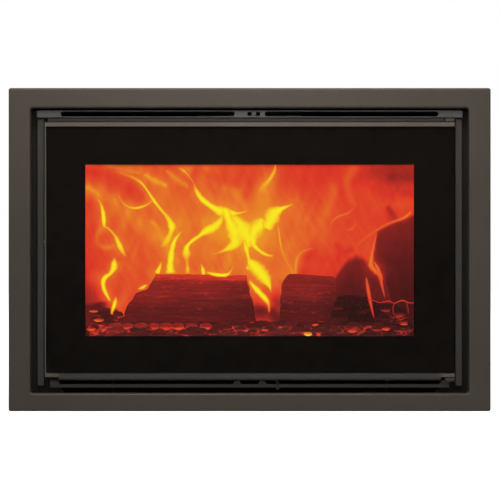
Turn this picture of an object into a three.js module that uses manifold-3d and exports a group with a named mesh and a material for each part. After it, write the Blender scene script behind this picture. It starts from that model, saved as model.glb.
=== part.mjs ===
// A wood-burning fireplace insert: a glazed cassette with a four-sided surround frame, a side-hung door
// with a black-bordered glass, a welded firebox lined with insulating bricks inside a sheet convection
// casing, a flue collar, two air controls and a fire laid on the grate.
//
// Millimetres, +Z up, the front faces -Y. In the insert group Y = 0 is the wall plane, Z = 0 the hearth and
// X = 0 the middle of the frame. The group is then moved so that the origin lies under the middle of the box.

import * as THREE from "three";
import { mergeVertices } from "three/addons/utils/BufferGeometryUtils.js";
import Module from "manifold-3d";

const wasm = await Module();
wasm.setup();

// ---------------------------------------------------------------- driving dimensions

const seatGap = 0.3; // between two pieces that sit on each other
const runningGap = 0.4; // between a moving piece and its guide
const cutOverrun = 1; // how far a cutter reaches past what it cuts, and a joined piece into its neighbour
const roundSegments = 20; // sides of a plain round hole or pin
const collarSegments = 48; // sides of the flue collar

// Surround frame: folded sheet, open at the back
const frameWidth = 820;
const frameHeight = 550;
const frameDepth = 22;
const frameSheet = 4;
const frameSideBand = 37;
const frameTopBand = 33.5;
const frameBottomBand = 30.5;
const frameEdgeRound = 3;
const frameOuterCorner = 4;
const frameInnerCorner = 5;
const clipWidth = 12;
const clipLength = 80;

// Convection casing, its wall flange and levelling feet
const casingSheet = 2;
const casingDepth = 402;
const casingSideLap = 3;
const casingTopLap = 9.5;
const casingBottomLap = 6.5;
const flangeWidth = 16;
const flangeThickness = 3;
const footInset = 46;
const footPadRadius = 20;
const footPadHeight = 6;
const footStemRadius = 5;
const footStemProud = 3;
const footNutRadius = 9;
const footNutHeight = 6;
const footStemSegments = 16;
const bearerSideMargin = 136;
const bearerWidth = 40;
const bearerSheet = 3;
const bearerInset = 40;

// Door: glass, rear frame, trims, seals
const doorSetback = 12;
const doorSideMargin = 23;
const doorTopMargin = 24.1;
const doorBottomMargin = 27.1;
const doorSideGap = 3.2;
const topTrimHeight = 7;
const bottomTrimHeight = 5.9;
const edgeTrimWidth = 1.9;
const edgeTrimSetback = 1;
const railHeight = 11.9;
const railSheet = 1.6;
const railEndMargin = 24;
const railTuck = 6;
const railNoseHeight = 6.5;
const glassSetback = 2;
const glassThickness = 4;
const glassHingeMargin = 0.4;
const gasketThickness = 1.4;
const gasketWidth = 10;
const gasketInset = 9;
const doorPlateThickness = 4;
const doorRimThickness = 3;
const doorRimDepth = 6;
const viewSideMargin = 63;
const viewTopMargin = 58;
const viewBottomMargin = 57;
const ropeWidth = 12.6;
const ropeLand = 10;
const ropeRibThickness = 3;
const ropeProud = 8;

// Hinge and catch
const hingeEdgeDistance = 7;
const hingeDepth = 7;
const hingePinRadius = 3;
const hingeCollarRadius = 5;
const hingeHeadRadius = 5.5;
const hingeHeadHeight = 1.4;
const hingeBracketWidth = 16;
const hingeBracketHeight = 5;
const hingeBracketNose = 6;
const hingeCollarHeight = 1;
const catchAboveMiddle = 14;
const catchPivotInset = 17;
const catchCamWidth = 8;
const catchCamThickness = 3;
const catchBossRadius = 4.5;
const catchBossProud = 1;
const catchTipGap = 0.9;
const keeperWidth = 2;
const keeperHeight = 5;
const keeperDepth = 4.6;

// Fascia around the door
const fasciaSetback = 13;
const uprightWidth = 10.6;
const uprightBottomMargin = 11.4;
const uprightTopMargin = 16.3;
const uprightChamfer = 3;
const fasciaSheet = 2;
const lipHeight = 5.4;
const lipEndMargin = 27;
const grilleEndMargin = 8;
const grilleHeight = 11.8;
const grilleSheet = 1.2;
const grilleLipGap = 1.7;
const ventHeight = 8.8;
const ventInnerX = 25.7;
const ventEndMargin = 41;
const controlSlotCentreX = 7;
const controlSlotWidth = 22;
const controlSlotHeight = 6.6;
const lowerStripHeight = 6;
const lowerStripRise = 8;
const lowerStripEndMargin = 30.7;
const lowerBlockWidth = 14.6;
const lowerBlockHeight = 6.1;
const lowerBlockSlant = 2.3;
const lowerTabHeight = 5.1;
const lowerTabCentreX = 21.6;
const lowerTabTopWidth = 10;
const lowerTabBottomWidth = 13;

// Front plate with the door opening
const frontPlateThickness = 5;
const mouthLand = 3;
const airCutSideMargin = 46;
const airCutRise = 32.7;

// Firebox: welded plates
const fireboxPlate = 4;
const fireboxSideGap = 46;
const fireboxBackGap = 60.4;
const fireboxUnderGap = 32;
const fireboxTopGap = 32;
const brickThickness = 25;
const baseBrickThickness = 30;
const smokeGap = 50; // from the liner's top to the firebox's ceiling
const baffleThickness = 15;
const baffleFrontGap = 88;
const guardHeight = 30;
const guardThickness = 8;
const guardSetback = 9;
const guardSideGap = 15.7;

// Flue
const flueRadius = 75;
const flueWall = 4;
const flueHeight = 69;
const flueFlangeWidth = 15;
const flueFlangeThickness = 4;
const flueFromFireboxBack = 105;
const flueCasingGap = 5;

// Grate and ash pan
const grateHalfWidth = 100;
const grateDepth = 210;
const grateFromFront = 38;
const grateThickness = 10;
const grateSlotCount = 7;
const grateSlotWidth = 10;
const grateRim = 14;
const grateLegWidth = 9;
const panFrontGap = 50;
const panBackGap = 12;
const panSideGap = 16;
const panHeight = 17.4;
const panSheet = 1.5;

// Air controls
const slideSheet = 2;
const airPortCount = 3;
const airPortWidth = 30;
const airPortPitch = 60;
const airBoxSheet = 2;
const airBoxEndMargin = 37;
const airBoxDepth = 26;
const airBoxSetback = 5;
const topPortDepth = 18;
const slideEndMargin = 15;
const topKnobWidth = 7;
const topKnobHeight = 5;
const topKnobDepth = 3.6;
const topKnobDrop = 0.4;
const trayDepth = 54;
const trayBehindFront = 36;
const trayEndRoom = 6;
const lowPortDepth = 36;
const lowKnobCentreX = 48;
const lowKnobWidth = 5.6;
const lowKnobTravelLeft = 12;
const lowKnobTravelRight = 30;
const lowArmDrop = 2;
const lowArmSetback = 4.2;
const deflectorSideGap = 36;
const deflectorDepth = 30;
const deflectorHeight = 44;
const deflectorLip = 18;

// Fire
const emberSideGap = 15.7;
const emberHeight = 50.4;
const emberFrontGap = 26;
const emberBackGap = 12.7; // to the back bricks
const emberSlope = 26;
const bigLogLength = 250;
const bigLogRadius = 47.4;
const bigLogInset = 175; // from the ember bed's left edge to the log's middle
const rightLogLength = 104;
const rightLogRadius = 48.5;
const rightLogInset = 179; // from the ember bed's right edge
const charredLogLength = 119;
const charredLogRadius = 27;
const charredLogInset = 61.5;
const logSides = 14;
const logRidges = 3;
const logRidgeShare = 0.07; // how much of a log's radius its ridges take
const logBevel = 4;

// ---------------------------------------------------------------- worked-out planes and edges

const halfFrame = frameWidth / 2;
const openingHalf = halfFrame - frameSideBand;
const openingBottom = frameBottomBand;
const openingTop = frameHeight - frameTopBand;

const frameFront = -frameDepth;
const doorFront = frameFront + doorSetback;
const glassFront = doorFront + glassSetback;
const glassBack = glassFront + glassThickness;
const gasketFront = glassBack + seatGap;
const doorPlateFront = gasketFront + gasketThickness + seatGap;
const doorPlateBack = doorPlateFront + doorPlateThickness;
const doorBack = doorPlateBack + doorRimDepth;
const sealFace = doorBack + ropeProud + seatGap;
const frontPlateBack = sealFace + frontPlateThickness;
const fasciaFront = doorFront + fasciaSetback;
const fasciaBack = sealFace - seatGap;

const casingInnerHalf = openingHalf + casingSideLap;
const casingOuterHalf = casingInnerHalf + casingSheet;
const casingInnerTop = openingTop + casingTopLap;
const casingInnerBottom = openingBottom - casingBottomLap;
const casingFront = -flangeThickness;
const casingOuterTop = casingInnerTop + casingSheet;
const casingUnderside = casingInnerBottom - casingSheet;

const doorHalf = openingHalf - doorSideMargin;
const doorTop = openingTop - doorTopMargin;
const doorBottom = openingBottom + doorBottomMargin;
const catchHeight = (doorTop + doorBottom) / 2 + catchAboveMiddle;
const glassTop = doorTop - topTrimHeight - seatGap;
const glassBottom = doorBottom + bottomTrimHeight + seatGap;
const doorPlateHalf = doorHalf - edgeTrimWidth - seatGap;
const viewHalf = doorHalf - viewSideMargin;
const viewTop = glassTop - viewTopMargin;
const viewBottom = glassBottom + viewBottomMargin;
const ropeInner = ropeLand + ropeRibThickness;

const hingeX = doorHalf - hingeEdgeDistance;
const hingeY = doorFront + hingeDepth;
const uprightInner = doorHalf + doorSideGap;
const uprightOuter = uprightInner + uprightWidth;
const uprightBottom = openingBottom + uprightBottomMargin;
const uprightTop = openingTop - uprightTopMargin;
const lipTop = uprightTop;
const lipBottom = lipTop - lipHeight;
const grilleBottom = lipTop + grilleLipGap;
const grilleTop = grilleBottom + grilleHeight;
const grilleHalfWidth = openingHalf - grilleEndMargin;
const ventOuterX = grilleHalfWidth - ventEndMargin;
const ventCentre = (grilleBottom + grilleTop) / 2;
const lowerStripBottom = openingBottom + lowerStripRise;
const lowerStripTop = lowerStripBottom + lowerStripHeight;
const lowerStripHalfWidth = openingHalf - lowerStripEndMargin;
const airCutHalfWidth = openingHalf - airCutSideMargin;

const fireboxFront = frontPlateBack + seatGap;
const fireboxBack = casingDepth - casingSheet - fireboxBackGap;
const fireboxHalfWidth = casingInnerHalf - fireboxSideGap;
const fireboxBottomZ = casingInnerBottom + fireboxUnderGap;
const fireboxTop = casingInnerTop - fireboxTopGap;
const fireboxFloor = fireboxBottomZ + fireboxPlate;
const fireboxCeiling = fireboxTop - fireboxPlate;
const fireboxInnerHalf = fireboxHalfWidth - fireboxPlate;
const brickOuter = fireboxInnerHalf - seatGap;
const brickBack = fireboxBack - fireboxPlate - seatGap;
const hearthTop = fireboxFloor + seatGap + baseBrickThickness;
const linerBottom = hearthTop + seatGap;
const linerTop = fireboxCeiling - smokeGap;
const linerInnerHalf = brickOuter - brickThickness;
const emberHalf = linerInnerHalf - emberSideGap;
const emberFront = fireboxFront + emberFrontGap;
const emberBack = brickBack - brickThickness - emberBackGap;
const grateFront = fireboxFront + grateFromFront;
const grateBack = grateFront + grateDepth;
const flueY = fireboxBack - flueFromFireboxBack;
const flueBore = flueRadius - flueWall;

const airBoxFront = frontPlateBack + airBoxSetback;
const airBoxBack = airBoxFront + airBoxDepth;
const airBoxBottom = fireboxTop + seatGap;
const controlSlotBottom = ventCentre - controlSlotHeight / 2;
const controlSlotTop = ventCentre + controlSlotHeight / 2;
const airBoxTop = controlSlotBottom;
const airPortsHalf = ((airPortCount - 1) * airPortPitch + airPortWidth) / 2;
const slideHalfWidth = airPortsHalf + slideEndMargin;
const trayFront = frontPlateBack + trayBehindFront;
const trayBack = trayFront + trayDepth;
const lowSlideTop = fireboxBottomZ - runningGap;
const lowSlideBottom = lowSlideTop - slideSheet;
const trayTop = fireboxBottomZ - seatGap;
const trayLeft = slideHalfWidth + lowKnobTravelLeft + trayEndRoom;
const trayRight = slideHalfWidth + lowKnobTravelRight + trayEndRoom;

// ---------------------------------------------------------------- materials

const paint = (color, roughness, metalness = 0.2) =>
  new THREE.MeshStandardMaterial({ color, roughness, metalness });

const materials = {
  framePaint: paint(0x4a433d, 0.55),
  fasciaPaint: paint(0x3a3632, 0.5),
  trimBronze: paint(0x665b53, 0.42, 0.4),
  blackPaint: paint(0x1a1917, 0.6),
  casingSteel: paint(0x8d9092, 0.45, 0.8),
  zincSteel: paint(0xa4a5a3, 0.35, 0.9),
  castIron: paint(0x2a2826, 0.75, 0.5),
  brick: paint(0xb39a76, 0.95, 0),
  glass: new THREE.MeshStandardMaterial({
    color: 0x14110f, roughness: 0.06, metalness: 0, transparent: true, opacity: 0.45,
  }),
  rope: paint(0x2f2e2c, 1, 0),
  wood: paint(0x3a1c12, 0.95, 0),
  ember: paint(0xd8451a, 0.95, 0),
};

// ---------------------------------------------------------------- shape and solid helpers

function box(x0, x1, y0, y1, z0, z1) {
  const geometry = new THREE.BoxGeometry(x1 - x0, y1 - y0, z1 - z0);
  return geometry.translate((x0 + x1) / 2, (y0 + y1) / 2, (z0 + z1) / 2);
}

function cylinder(radius, x, y, z0, z1, sides = roundSegments) {
  const geometry = new THREE.CylinderGeometry(radius, radius, z1 - z0, sides);
  return geometry.rotateX(Math.PI / 2).translate(x, y, (z0 + z1) / 2);
}

// A rectangle from (x0, z0) to (x1, z1), with round corners where radius is given, for a Shape or a hole.
function rectanglePath(path, x0, x1, z0, z1, radius = 0) {
  if (!radius) {
    path.moveTo(x0, z0).lineTo(x1, z0).lineTo(x1, z1).lineTo(x0, z1).closePath();
    return path;
  }
  path.moveTo(x0 + radius, z0);
  path.lineTo(x1 - radius, z0);
  path.absarc(x1 - radius, z0 + radius, radius, -Math.PI / 2, 0, false);
  path.lineTo(x1, z1 - radius);
  path.absarc(x1 - radius, z1 - radius, radius, 0, Math.PI / 2, false);
  path.lineTo(x0 + radius, z1);
  path.absarc(x0 + radius, z1 - radius, radius, Math.PI / 2, Math.PI, false);
  path.lineTo(x0, z0 + radius);
  path.absarc(x0 + radius, z0 + radius, radius, Math.PI, 1.5 * Math.PI, false);
  return path;
}

const rectangle = (...edges) => rectanglePath(new THREE.Shape(), ...edges);
const rectangleHole = (...edges) => rectanglePath(new THREE.Path(), ...edges);

function polygon(points) {
  return new THREE.Shape(points.map(([a, b]) => new THREE.Vector2(a, b)));
}

// Extrudes a shape drawn in X and Z from y0 to y1.
function alongY(shape, y0, y1, options = {}) {
  const settings = { depth: y1 - y0, bevelEnabled: false, curveSegments: 6, ...options };
  return new THREE.ExtrudeGeometry(shape, settings).rotateX(Math.PI / 2).translate(0, y1, 0);
}

// Extrudes a shape drawn in Y and Z from x0 to x1.
function alongX(shape, x0, x1, options = {}) {
  const settings = { depth: x1 - x0, bevelEnabled: false, curveSegments: 6, ...options };
  const turn = new THREE.Matrix4().makeBasis(
    new THREE.Vector3(0, 1, 0),
    new THREE.Vector3(0, 0, 1),
    new THREE.Vector3(1, 0, 0),
  );
  return new THREE.ExtrudeGeometry(shape, settings).applyMatrix4(turn).translate(x0, 0, 0);
}

// The outline of a bent sheet: its middle line given as points, with mitred corners.
function bentSheet(points, thickness) {
  const line = points.map(([a, b]) => new THREE.Vector2(a, b));
  const normals = line.slice(1).map((end, i) => {
    const along = end.clone().sub(line[i]).normalize();
    return new THREE.Vector2(-along.y, along.x);
  });
  const offsets = line.map((_, i) => {
    const before = normals[Math.max(i - 1, 0)];
    const after = normals[Math.min(i, normals.length - 1)];
    const mitre = before.clone().add(after);
    return mitre.multiplyScalar(thickness / mitre.dot(before) / 2);
  });
  const left = line.map((point, i) => point.clone().add(offsets[i]));
  const right = line.map((point, i) => point.clone().sub(offsets[i]));
  return new THREE.Shape([...right, ...left.reverse()]);
}

function toSolid(geometry) {
  const bare = geometry.clone();
  bare.deleteAttribute("normal");
  bare.deleteAttribute("uv");
  const merged = mergeVertices(bare, 1e-3);
  return new wasm.Manifold(
    new wasm.Mesh({
      numProp: 3,
      vertProperties: merged.attributes.position.array,
      triVerts: new Uint32Array(merged.index.array),
    }),
  );
}

function toGeometry(solid) {
  const mesh = solid.getMesh();
  const geometry = new THREE.BufferGeometry();
  geometry.setAttribute("position", new THREE.BufferAttribute(mesh.vertProperties, 3));
  geometry.setIndex(new THREE.BufferAttribute(mesh.triVerts, 1));
  geometry.computeVertexNormals();
  return geometry;
}

function join(first, ...others) {
  return toGeometry(others.reduce((solid, other) => solid.add(toSolid(other)), toSolid(first)));
}

function cut(base, ...tools) {
  return toGeometry(tools.reduce((solid, tool) => solid.subtract(toSolid(tool)), toSolid(base)));
}

const insert = new THREE.Group();

function piece(name, geometry, material) {
  const mesh = new THREE.Mesh(geometry, material);
  mesh.name = name;
  insert.add(mesh);
}

const sides = [
  { name: "left", sign: -1 },
  { name: "right", sign: 1 },
];

// A plate or bar given for the right-hand side, mirrored for the left.
function mirroredBox(sign, x0, x1, ...rest) {
  return sign > 0 ? box(x0, x1, ...rest) : box(-x1, -x0, ...rest);
}

// ---------------------------------------------------------------- surround frame and casing

function surroundFrame() {
  const overrun = frameEdgeRound + cutOverrun;
  const outline = rectangle(-halfFrame, halfFrame, 0, frameHeight, frameOuterCorner);
  outline.holes.push(
    rectangleHole(-openingHalf, openingHalf, openingBottom, openingTop, frameInnerCorner),
  );
  const slab = alongY(outline, frameFront + frameEdgeRound, overrun, {
    bevelEnabled: true,
    bevelSize: frameEdgeRound,
    bevelThickness: frameEdgeRound,
    bevelOffset: -frameEdgeRound,
    bevelSegments: 4,
  });
  const behindWall = box(
    -frameWidth, frameWidth, 0, frameDepth, -frameHeight, 2 * frameHeight,
  );
  const channel = rectangle(
    -halfFrame + frameSheet, halfFrame - frameSheet, frameSheet, frameHeight - frameSheet,
  );
  channel.holes.push(
    rectangleHole(
      -openingHalf - frameSheet, openingHalf + frameSheet,
      openingBottom - frameSheet, openingTop + frameSheet,
    ),
  );
  const hollow = alongY(channel, frameFront + frameSheet, frameDepth);
  const flangeSeat = box(
    -openingHalf - frameSheet - cutOverrun, openingHalf + frameSheet + cutOverrun,
    -flangeThickness - seatGap, frameDepth,
    openingBottom - frameSheet - cutOverrun, openingTop + frameSheet + cutOverrun,
  );
  piece("surround_frame", cut(slab, behindWall, hollow, flangeSeat), materials.framePaint);
}

// The wall flange runs round the casing's mouth and stays flush with its front edges.
function casingFlange() {
  const half = casingOuterHalf + seatGap;
  const low = casingUnderside - seatGap;
  const high = casingOuterTop + seatGap;
  const outline = rectangle(-half - flangeWidth, half + flangeWidth, low - flangeWidth, high + flangeWidth);
  outline.holes.push(rectangleHole(-half, half, low, high));
  piece("casing_flange", alongY(outline, -flangeThickness, 0), materials.casingSteel);
}

function frameClips() {
  const clipInner = openingHalf + frameSheet + seatGap;
  const middle = frameHeight / 2;
  for (const { name, sign } of sides) {
    const block = mirroredBox(
      sign, clipInner, clipInner + clipWidth,
      frameFront + frameSheet + seatGap, -flangeThickness - seatGap,
      middle - clipLength / 2, middle + clipLength / 2,
    );
    piece(`frame_clip_${name}`, block, materials.zincSteel);
  }
}

function footPlaces() {
  const x = casingOuterHalf - footInset;
  return [
    { name: "front_left", x: -x, y: footInset },
    { name: "front_right", x, y: footInset },
    { name: "back_left", x: -x, y: casingDepth - footInset },
    { name: "back_right", x, y: casingDepth - footInset },
  ];
}

function casing() {
  const bottom = cut(
    box(-casingOuterHalf, casingOuterHalf, casingFront, casingDepth, casingUnderside, casingInnerBottom),
    ...footPlaces().map(({ x, y }) =>
      cylinder(footStemRadius + seatGap, x, y, casingUnderside - cutOverrun, casingInnerBottom + cutOverrun)),
  );
  piece("casing_bottom", bottom, materials.casingSteel);

  const lid = cut(
    box(-casingOuterHalf, casingOuterHalf, casingFront, casingDepth,
      casingInnerTop, casingOuterTop),
    cylinder(flueRadius + flueCasingGap, 0, flueY,
      casingInnerTop - cutOverrun, casingOuterTop + cutOverrun, collarSegments),
  );
  piece("casing_top", lid, materials.casingSteel);

  const low = casingInnerBottom + seatGap;
  const high = casingInnerTop - seatGap;
  for (const { name, sign } of sides) {
    const side = mirroredBox(sign, casingInnerHalf, casingOuterHalf, casingFront, casingDepth, low, high);
    piece(`casing_${name}`, side, materials.casingSteel);
  }
  const backHalf = casingInnerHalf - seatGap;
  const back = box(-backHalf, backHalf, casingDepth - casingSheet, casingDepth, low, high);
  piece("casing_back", back, materials.casingSteel);
}

function levellingFeet() {
  const stemTop = casingInnerBottom + seatGap + footNutHeight + footStemProud;
  for (const { name, x, y } of footPlaces()) {
    const foot = join(
      cylinder(footPadRadius, x, y, 0, footPadHeight),
      cylinder(footStemRadius, x, y, footPadHeight - cutOverrun, stemTop, footStemSegments),
      cylinder(footNutRadius, x, y, casingUnderside - seatGap - footNutHeight, casingUnderside - seatGap, 6),
      cylinder(footNutRadius, x, y, casingInnerBottom + seatGap,
        casingInnerBottom + seatGap + footNutHeight, 6),
    );
    piece(`levelling_foot_${name}`, foot, materials.zincSteel);
  }
}

function bearers() {
  const low = casingInnerBottom + seatGap + bearerSheet / 2;
  const high = fireboxBottomZ - seatGap - bearerSheet / 2;
  const half = casingInnerHalf - bearerSideMargin;
  for (const { name, sign } of sides) {
    const middleLine = [
      [sign * (half - bearerWidth), low],
      [sign * half, low],
      [sign * half, high],
      [sign * (half - bearerWidth), high],
    ];
    const section = bentSheet(sign > 0 ? middleLine : middleLine.reverse(), bearerSheet);
    const channel = alongY(section, fireboxFront + bearerInset, fireboxBack);
    piece(`bearer_${name}`, channel, materials.casingSteel);
  }
}

// ---------------------------------------------------------------- fascia around the door

function frontPlate() {
  const edge = casingInnerHalf - seatGap;
  const low = casingInnerBottom + seatGap;
  const mouth = viewHalf + mouthLand;
  const opening = rectangle(-mouth, mouth, viewBottom - mouthLand, viewTop + mouthLand, frameInnerCorner);
  const span = [sealFace - cutOverrun, frontPlateBack + cutOverrun];
  const through = (x0, x1, z0, z1) => box(x0, x1, ...span, z0, z1);
  const vents = sides.map(({ sign }) =>
    mirroredBox(sign, ventInnerX - fasciaSheet, ventOuterX + fasciaSheet, ...span,
      ventCentre - ventHeight / 2, ventCentre + ventHeight / 2));
  const plate = cut(
    box(-edge, edge, sealFace, frontPlateBack, low, grilleTop + seatGap),
    alongY(opening, ...span),
    through(-airCutHalfWidth, airCutHalfWidth, low - cutOverrun, casingInnerBottom + airCutRise),
    through(controlSlotCentreX - controlSlotWidth / 2, controlSlotCentreX + controlSlotWidth / 2,
      controlSlotBottom, controlSlotTop),
    ...vents,
  );
  piece("front_plate", plate, materials.blackPaint);
}

function stadium(path, x0, x1, z0, z1) {
  const radius = (z1 - z0) / 2;
  const middle = (z0 + z1) / 2;
  path.moveTo(x0 + radius, z0);
  path.lineTo(x1 - radius, z0);
  path.absarc(x1 - radius, middle, radius, -Math.PI / 2, Math.PI / 2, false);
  path.lineTo(x0 + radius, z1);
  path.absarc(x0 + radius, middle, radius, Math.PI / 2, 1.5 * Math.PI, false);
  return path;
}

function topGrille() {
  const face = rectangle(-grilleHalfWidth, grilleHalfWidth, grilleBottom, grilleTop);
  const ventLow = ventCentre - ventHeight / 2;
  const ventHigh = ventCentre + ventHeight / 2;
  face.holes.push(stadium(new THREE.Path(), ventInnerX, ventOuterX, ventLow, ventHigh));
  face.holes.push(stadium(new THREE.Path(), -ventOuterX, -ventInnerX, ventLow, ventHigh));
  face.holes.push(
    rectangleHole(
      controlSlotCentreX - controlSlotWidth / 2, controlSlotCentreX + controlSlotWidth / 2,
      controlSlotBottom, controlSlotTop, 1,
    ),
  );
  const grille = join(
    alongY(face, fasciaFront, fasciaFront + grilleSheet, { curveSegments: 8 }),
    box(-grilleHalfWidth, grilleHalfWidth, fasciaFront + grilleSheet / 2, fasciaBack,
      grilleBottom, grilleBottom + grilleSheet),
    box(-grilleHalfWidth, grilleHalfWidth, fasciaFront + grilleSheet / 2, fasciaBack,
      grilleTop - grilleSheet, grilleTop),
  );
  piece("top_grille", grille, materials.fasciaPaint);
}

function lintelLip() {
  const bracketLeft = hingeX + hingeEdgeDistance - hingeBracketWidth;
  const section = bentSheet(
    [
      [fasciaFront + fasciaSheet / 2, lipBottom],
      [fasciaFront + fasciaSheet / 2, lipTop - fasciaSheet / 2],
      [fasciaBack, lipTop - fasciaSheet / 2],
    ],
    fasciaSheet,
  );
  const lip = alongX(section, -openingHalf + lipEndMargin, bracketLeft - seatGap);
  piece("lintel_lip", lip, materials.fasciaPaint);
}

function uprights() {
  for (const { name, sign } of sides) {
    const bar = mirroredBox(sign, uprightInner, uprightOuter, fasciaFront, fasciaBack,
      uprightBottom, uprightTop);
    const hollow = mirroredBox(sign, uprightInner + fasciaSheet, uprightOuter - fasciaSheet,
      fasciaFront + fasciaSheet, fasciaBack + cutOverrun,
      uprightBottom + fasciaSheet, uprightTop - uprightChamfer - fasciaSheet);
    const nick = polygon([
      [fasciaFront - cutOverrun, uprightTop + cutOverrun],
      [fasciaFront - cutOverrun, uprightTop - uprightChamfer - cutOverrun],
      [fasciaFront + uprightChamfer + cutOverrun, uprightTop + cutOverrun],
    ]);
    const chamfer = alongX(nick, -frameWidth, frameWidth);
    piece(`${name}_upright`, cut(bar, hollow, chamfer), materials.fasciaPaint);
  }
}

function lowerGrille() {
  const half = lowerStripHalfWidth;
  const blockTop = lowerStripTop + lowerBlockHeight;
  const blockInner = half - lowerBlockWidth;
  const tabTop = lowerStripTop + lowerTabHeight;
  const tab = (centre) => [
    [centre + lowerTabBottomWidth / 2, lowerStripTop],
    [centre + lowerTabTopWidth / 2, tabTop],
    [centre - lowerTabTopWidth / 2, tabTop],
    [centre - lowerTabBottomWidth / 2, lowerStripTop],
  ];
  const outline = polygon([
    [-half, lowerStripBottom],
    [half, lowerStripBottom],
    [half, blockTop],
    [blockInner + lowerBlockSlant, blockTop],
    [blockInner - lowerBlockSlant, lowerStripTop],
    ...tab(lowerTabCentreX),
    ...tab(-lowerTabCentreX),
    [-blockInner + lowerBlockSlant, lowerStripTop],
    [-blockInner - lowerBlockSlant, blockTop],
    [-half, blockTop],
  ]);
  const strip = join(
    alongY(outline, fasciaFront, fasciaFront + fasciaSheet),
    box(-half, half, fasciaFront + fasciaSheet / 2, fasciaBack,
      lowerStripBottom, lowerStripBottom + fasciaSheet),
  );
  piece("lower_grille", strip, materials.fasciaPaint);
}

// ---------------------------------------------------------------- door

function doorGlass() {
  const glass = box(
    -doorHalf + edgeTrimWidth + seatGap, doorHalf - glassHingeMargin,
    glassFront, glassBack, glassBottom, glassTop,
  );
  piece("door_glass", glass, materials.glass);
}

// A rectangular ring that keeps one distance from the door's window all round.
function windowRing(inner, outer, y0, y1, corner = 0) {
  const ring = rectangle(-viewHalf - outer, viewHalf + outer, viewBottom - outer, viewTop + outer, corner);
  ring.holes.push(
    rectangleHole(-viewHalf - inner, viewHalf + inner, viewBottom - inner, viewTop + inner),
  );
  return alongY(ring, y0, y1);
}

function doorFrame() {
  const plate = rectangle(-doorPlateHalf, doorPlateHalf, glassBottom, glassTop);
  plate.holes.push(rectangleHole(-viewHalf, viewHalf, viewBottom, viewTop));
  const rim = rectangle(-doorPlateHalf, doorPlateHalf, glassBottom, glassTop);
  rim.holes.push(
    rectangleHole(
      -doorPlateHalf + doorRimThickness, doorPlateHalf - doorRimThickness,
      glassBottom + doorRimThickness, glassTop - doorRimThickness,
    ),
  );
  const ribRoot = doorPlateBack - cutOverrun;
  const ropeOuter = ropeInner + ropeWidth + 2 * seatGap;
  const spindleHole = new THREE.CylinderGeometry(
    catchBossRadius + runningGap, catchBossRadius + runningGap,
    2 * (doorBack - doorPlateFront), roundSegments,
  );
  spindleHole.translate(-doorHalf + catchPivotInset, doorPlateFront, catchHeight);
  const frame = join(
    alongY(plate, doorPlateFront, doorPlateBack),
    alongY(rim, ribRoot, doorBack),
    windowRing(ropeLand, ropeInner, ribRoot, doorBack),
    windowRing(ropeOuter, ropeOuter + ropeRibThickness, ribRoot, doorBack),
  );
  piece("door_frame", cut(frame, spindleHole), materials.blackPaint);
}

function ropeSeal() {
  const ring = windowRing(ropeInner + seatGap, ropeInner + seatGap + ropeWidth,
    doorPlateBack + seatGap, sealFace - seatGap);
  piece("rope_seal", ring, materials.rope);
}

function glassGasket() {
  const outer = gasketInset;
  const inner = gasketInset + gasketWidth;
  const half = doorPlateHalf - outer;
  const ring = rectangle(-half, half, glassBottom + outer, glassTop - outer);
  ring.holes.push(
    rectangleHole(-doorPlateHalf + inner, doorPlateHalf - inner, glassBottom + inner, glassTop - inner),
  );
  piece("glass_gasket", alongY(ring, gasketFront, gasketFront + gasketThickness), materials.rope);
}

function doorTrims() {
  const pinHole = (z0, z1) =>
    cylinder(hingePinRadius + runningGap, hingeX, hingeY, z0 - cutOverrun, z1 + cutOverrun);
  const topLow = doorTop - topTrimHeight;
  const top = cut(
    box(-doorHalf, doorHalf, doorFront, doorBack, topLow, doorTop), pinHole(topLow, doorTop),
  );
  piece("door_trim_top", top, materials.trimBronze);

  const bottomHigh = doorBottom + bottomTrimHeight;
  const bottom = cut(
    box(-doorHalf, doorHalf, doorFront, doorBack, doorBottom, bottomHigh), pinHole(doorBottom, bottomHigh),
  );
  piece("door_trim_bottom", bottom, materials.trimBronze);

  const edge = box(-doorHalf, -doorHalf + edgeTrimWidth, doorFront + edgeTrimSetback, doorBack,
    glassBottom, glassTop);
  piece("door_trim_left", edge, materials.trimBronze);
}

// The curved rail under the glass: it drops in front of the bottom trim and tucks back beneath it.
function doorRail() {
  const front = doorFront - seatGap - railSheet / 2;
  const top = doorBottom + bottomTrimHeight;
  const bend = top - railNoseHeight;
  const drop = bend - (top - railHeight) - railSheet / 2;
  const curve = [0.25, 0.5, 0.75, 1].map((share) => {
    const angle = (share * Math.PI) / 2;
    return [front + railTuck * (1 - Math.cos(angle)), bend - drop * Math.sin(angle)];
  });
  const section = bentSheet([[front, top], [front, bend], ...curve], railSheet);
  const half = doorHalf - railEndMargin;
  piece("door_rail", alongX(section, -half, half), materials.fasciaPaint);
}

// ---------------------------------------------------------------- hinges and catch

function hingeBracket(name, z0) {
  const right = hingeX + hingeEdgeDistance;
  const z1 = z0 + hingeBracketHeight;
  const plate = cut(
    box(right - hingeBracketWidth, right, hingeY - hingeBracketNose, fasciaBack, z0, z1),
    cylinder(hingePinRadius + runningGap, hingeX, hingeY, z0 - cutOverrun, z1 + cutOverrun),
  );
  piece(name, plate, materials.fasciaPaint);
}

// A pin with a collar that spaces the door from its bracket and a head beyond the bracket.
function hingePin(name, tip, collarStart, bracketNear, direction) {
  const head = bracketNear + direction * (hingeBracketHeight + seatGap);
  const span = (a, b) => [Math.min(a, b), Math.max(a, b)];
  const pin = join(
    cylinder(hingePinRadius, hingeX, hingeY, ...span(tip, head + direction * hingeHeadHeight / 2)),
    cylinder(hingeCollarRadius, hingeX, hingeY,
      ...span(collarStart, collarStart + direction * hingeCollarHeight)),
    cylinder(hingeHeadRadius, hingeX, hingeY, ...span(head, head + direction * hingeHeadHeight)),
  );
  piece(name, pin, materials.zincSteel);
}

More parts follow.
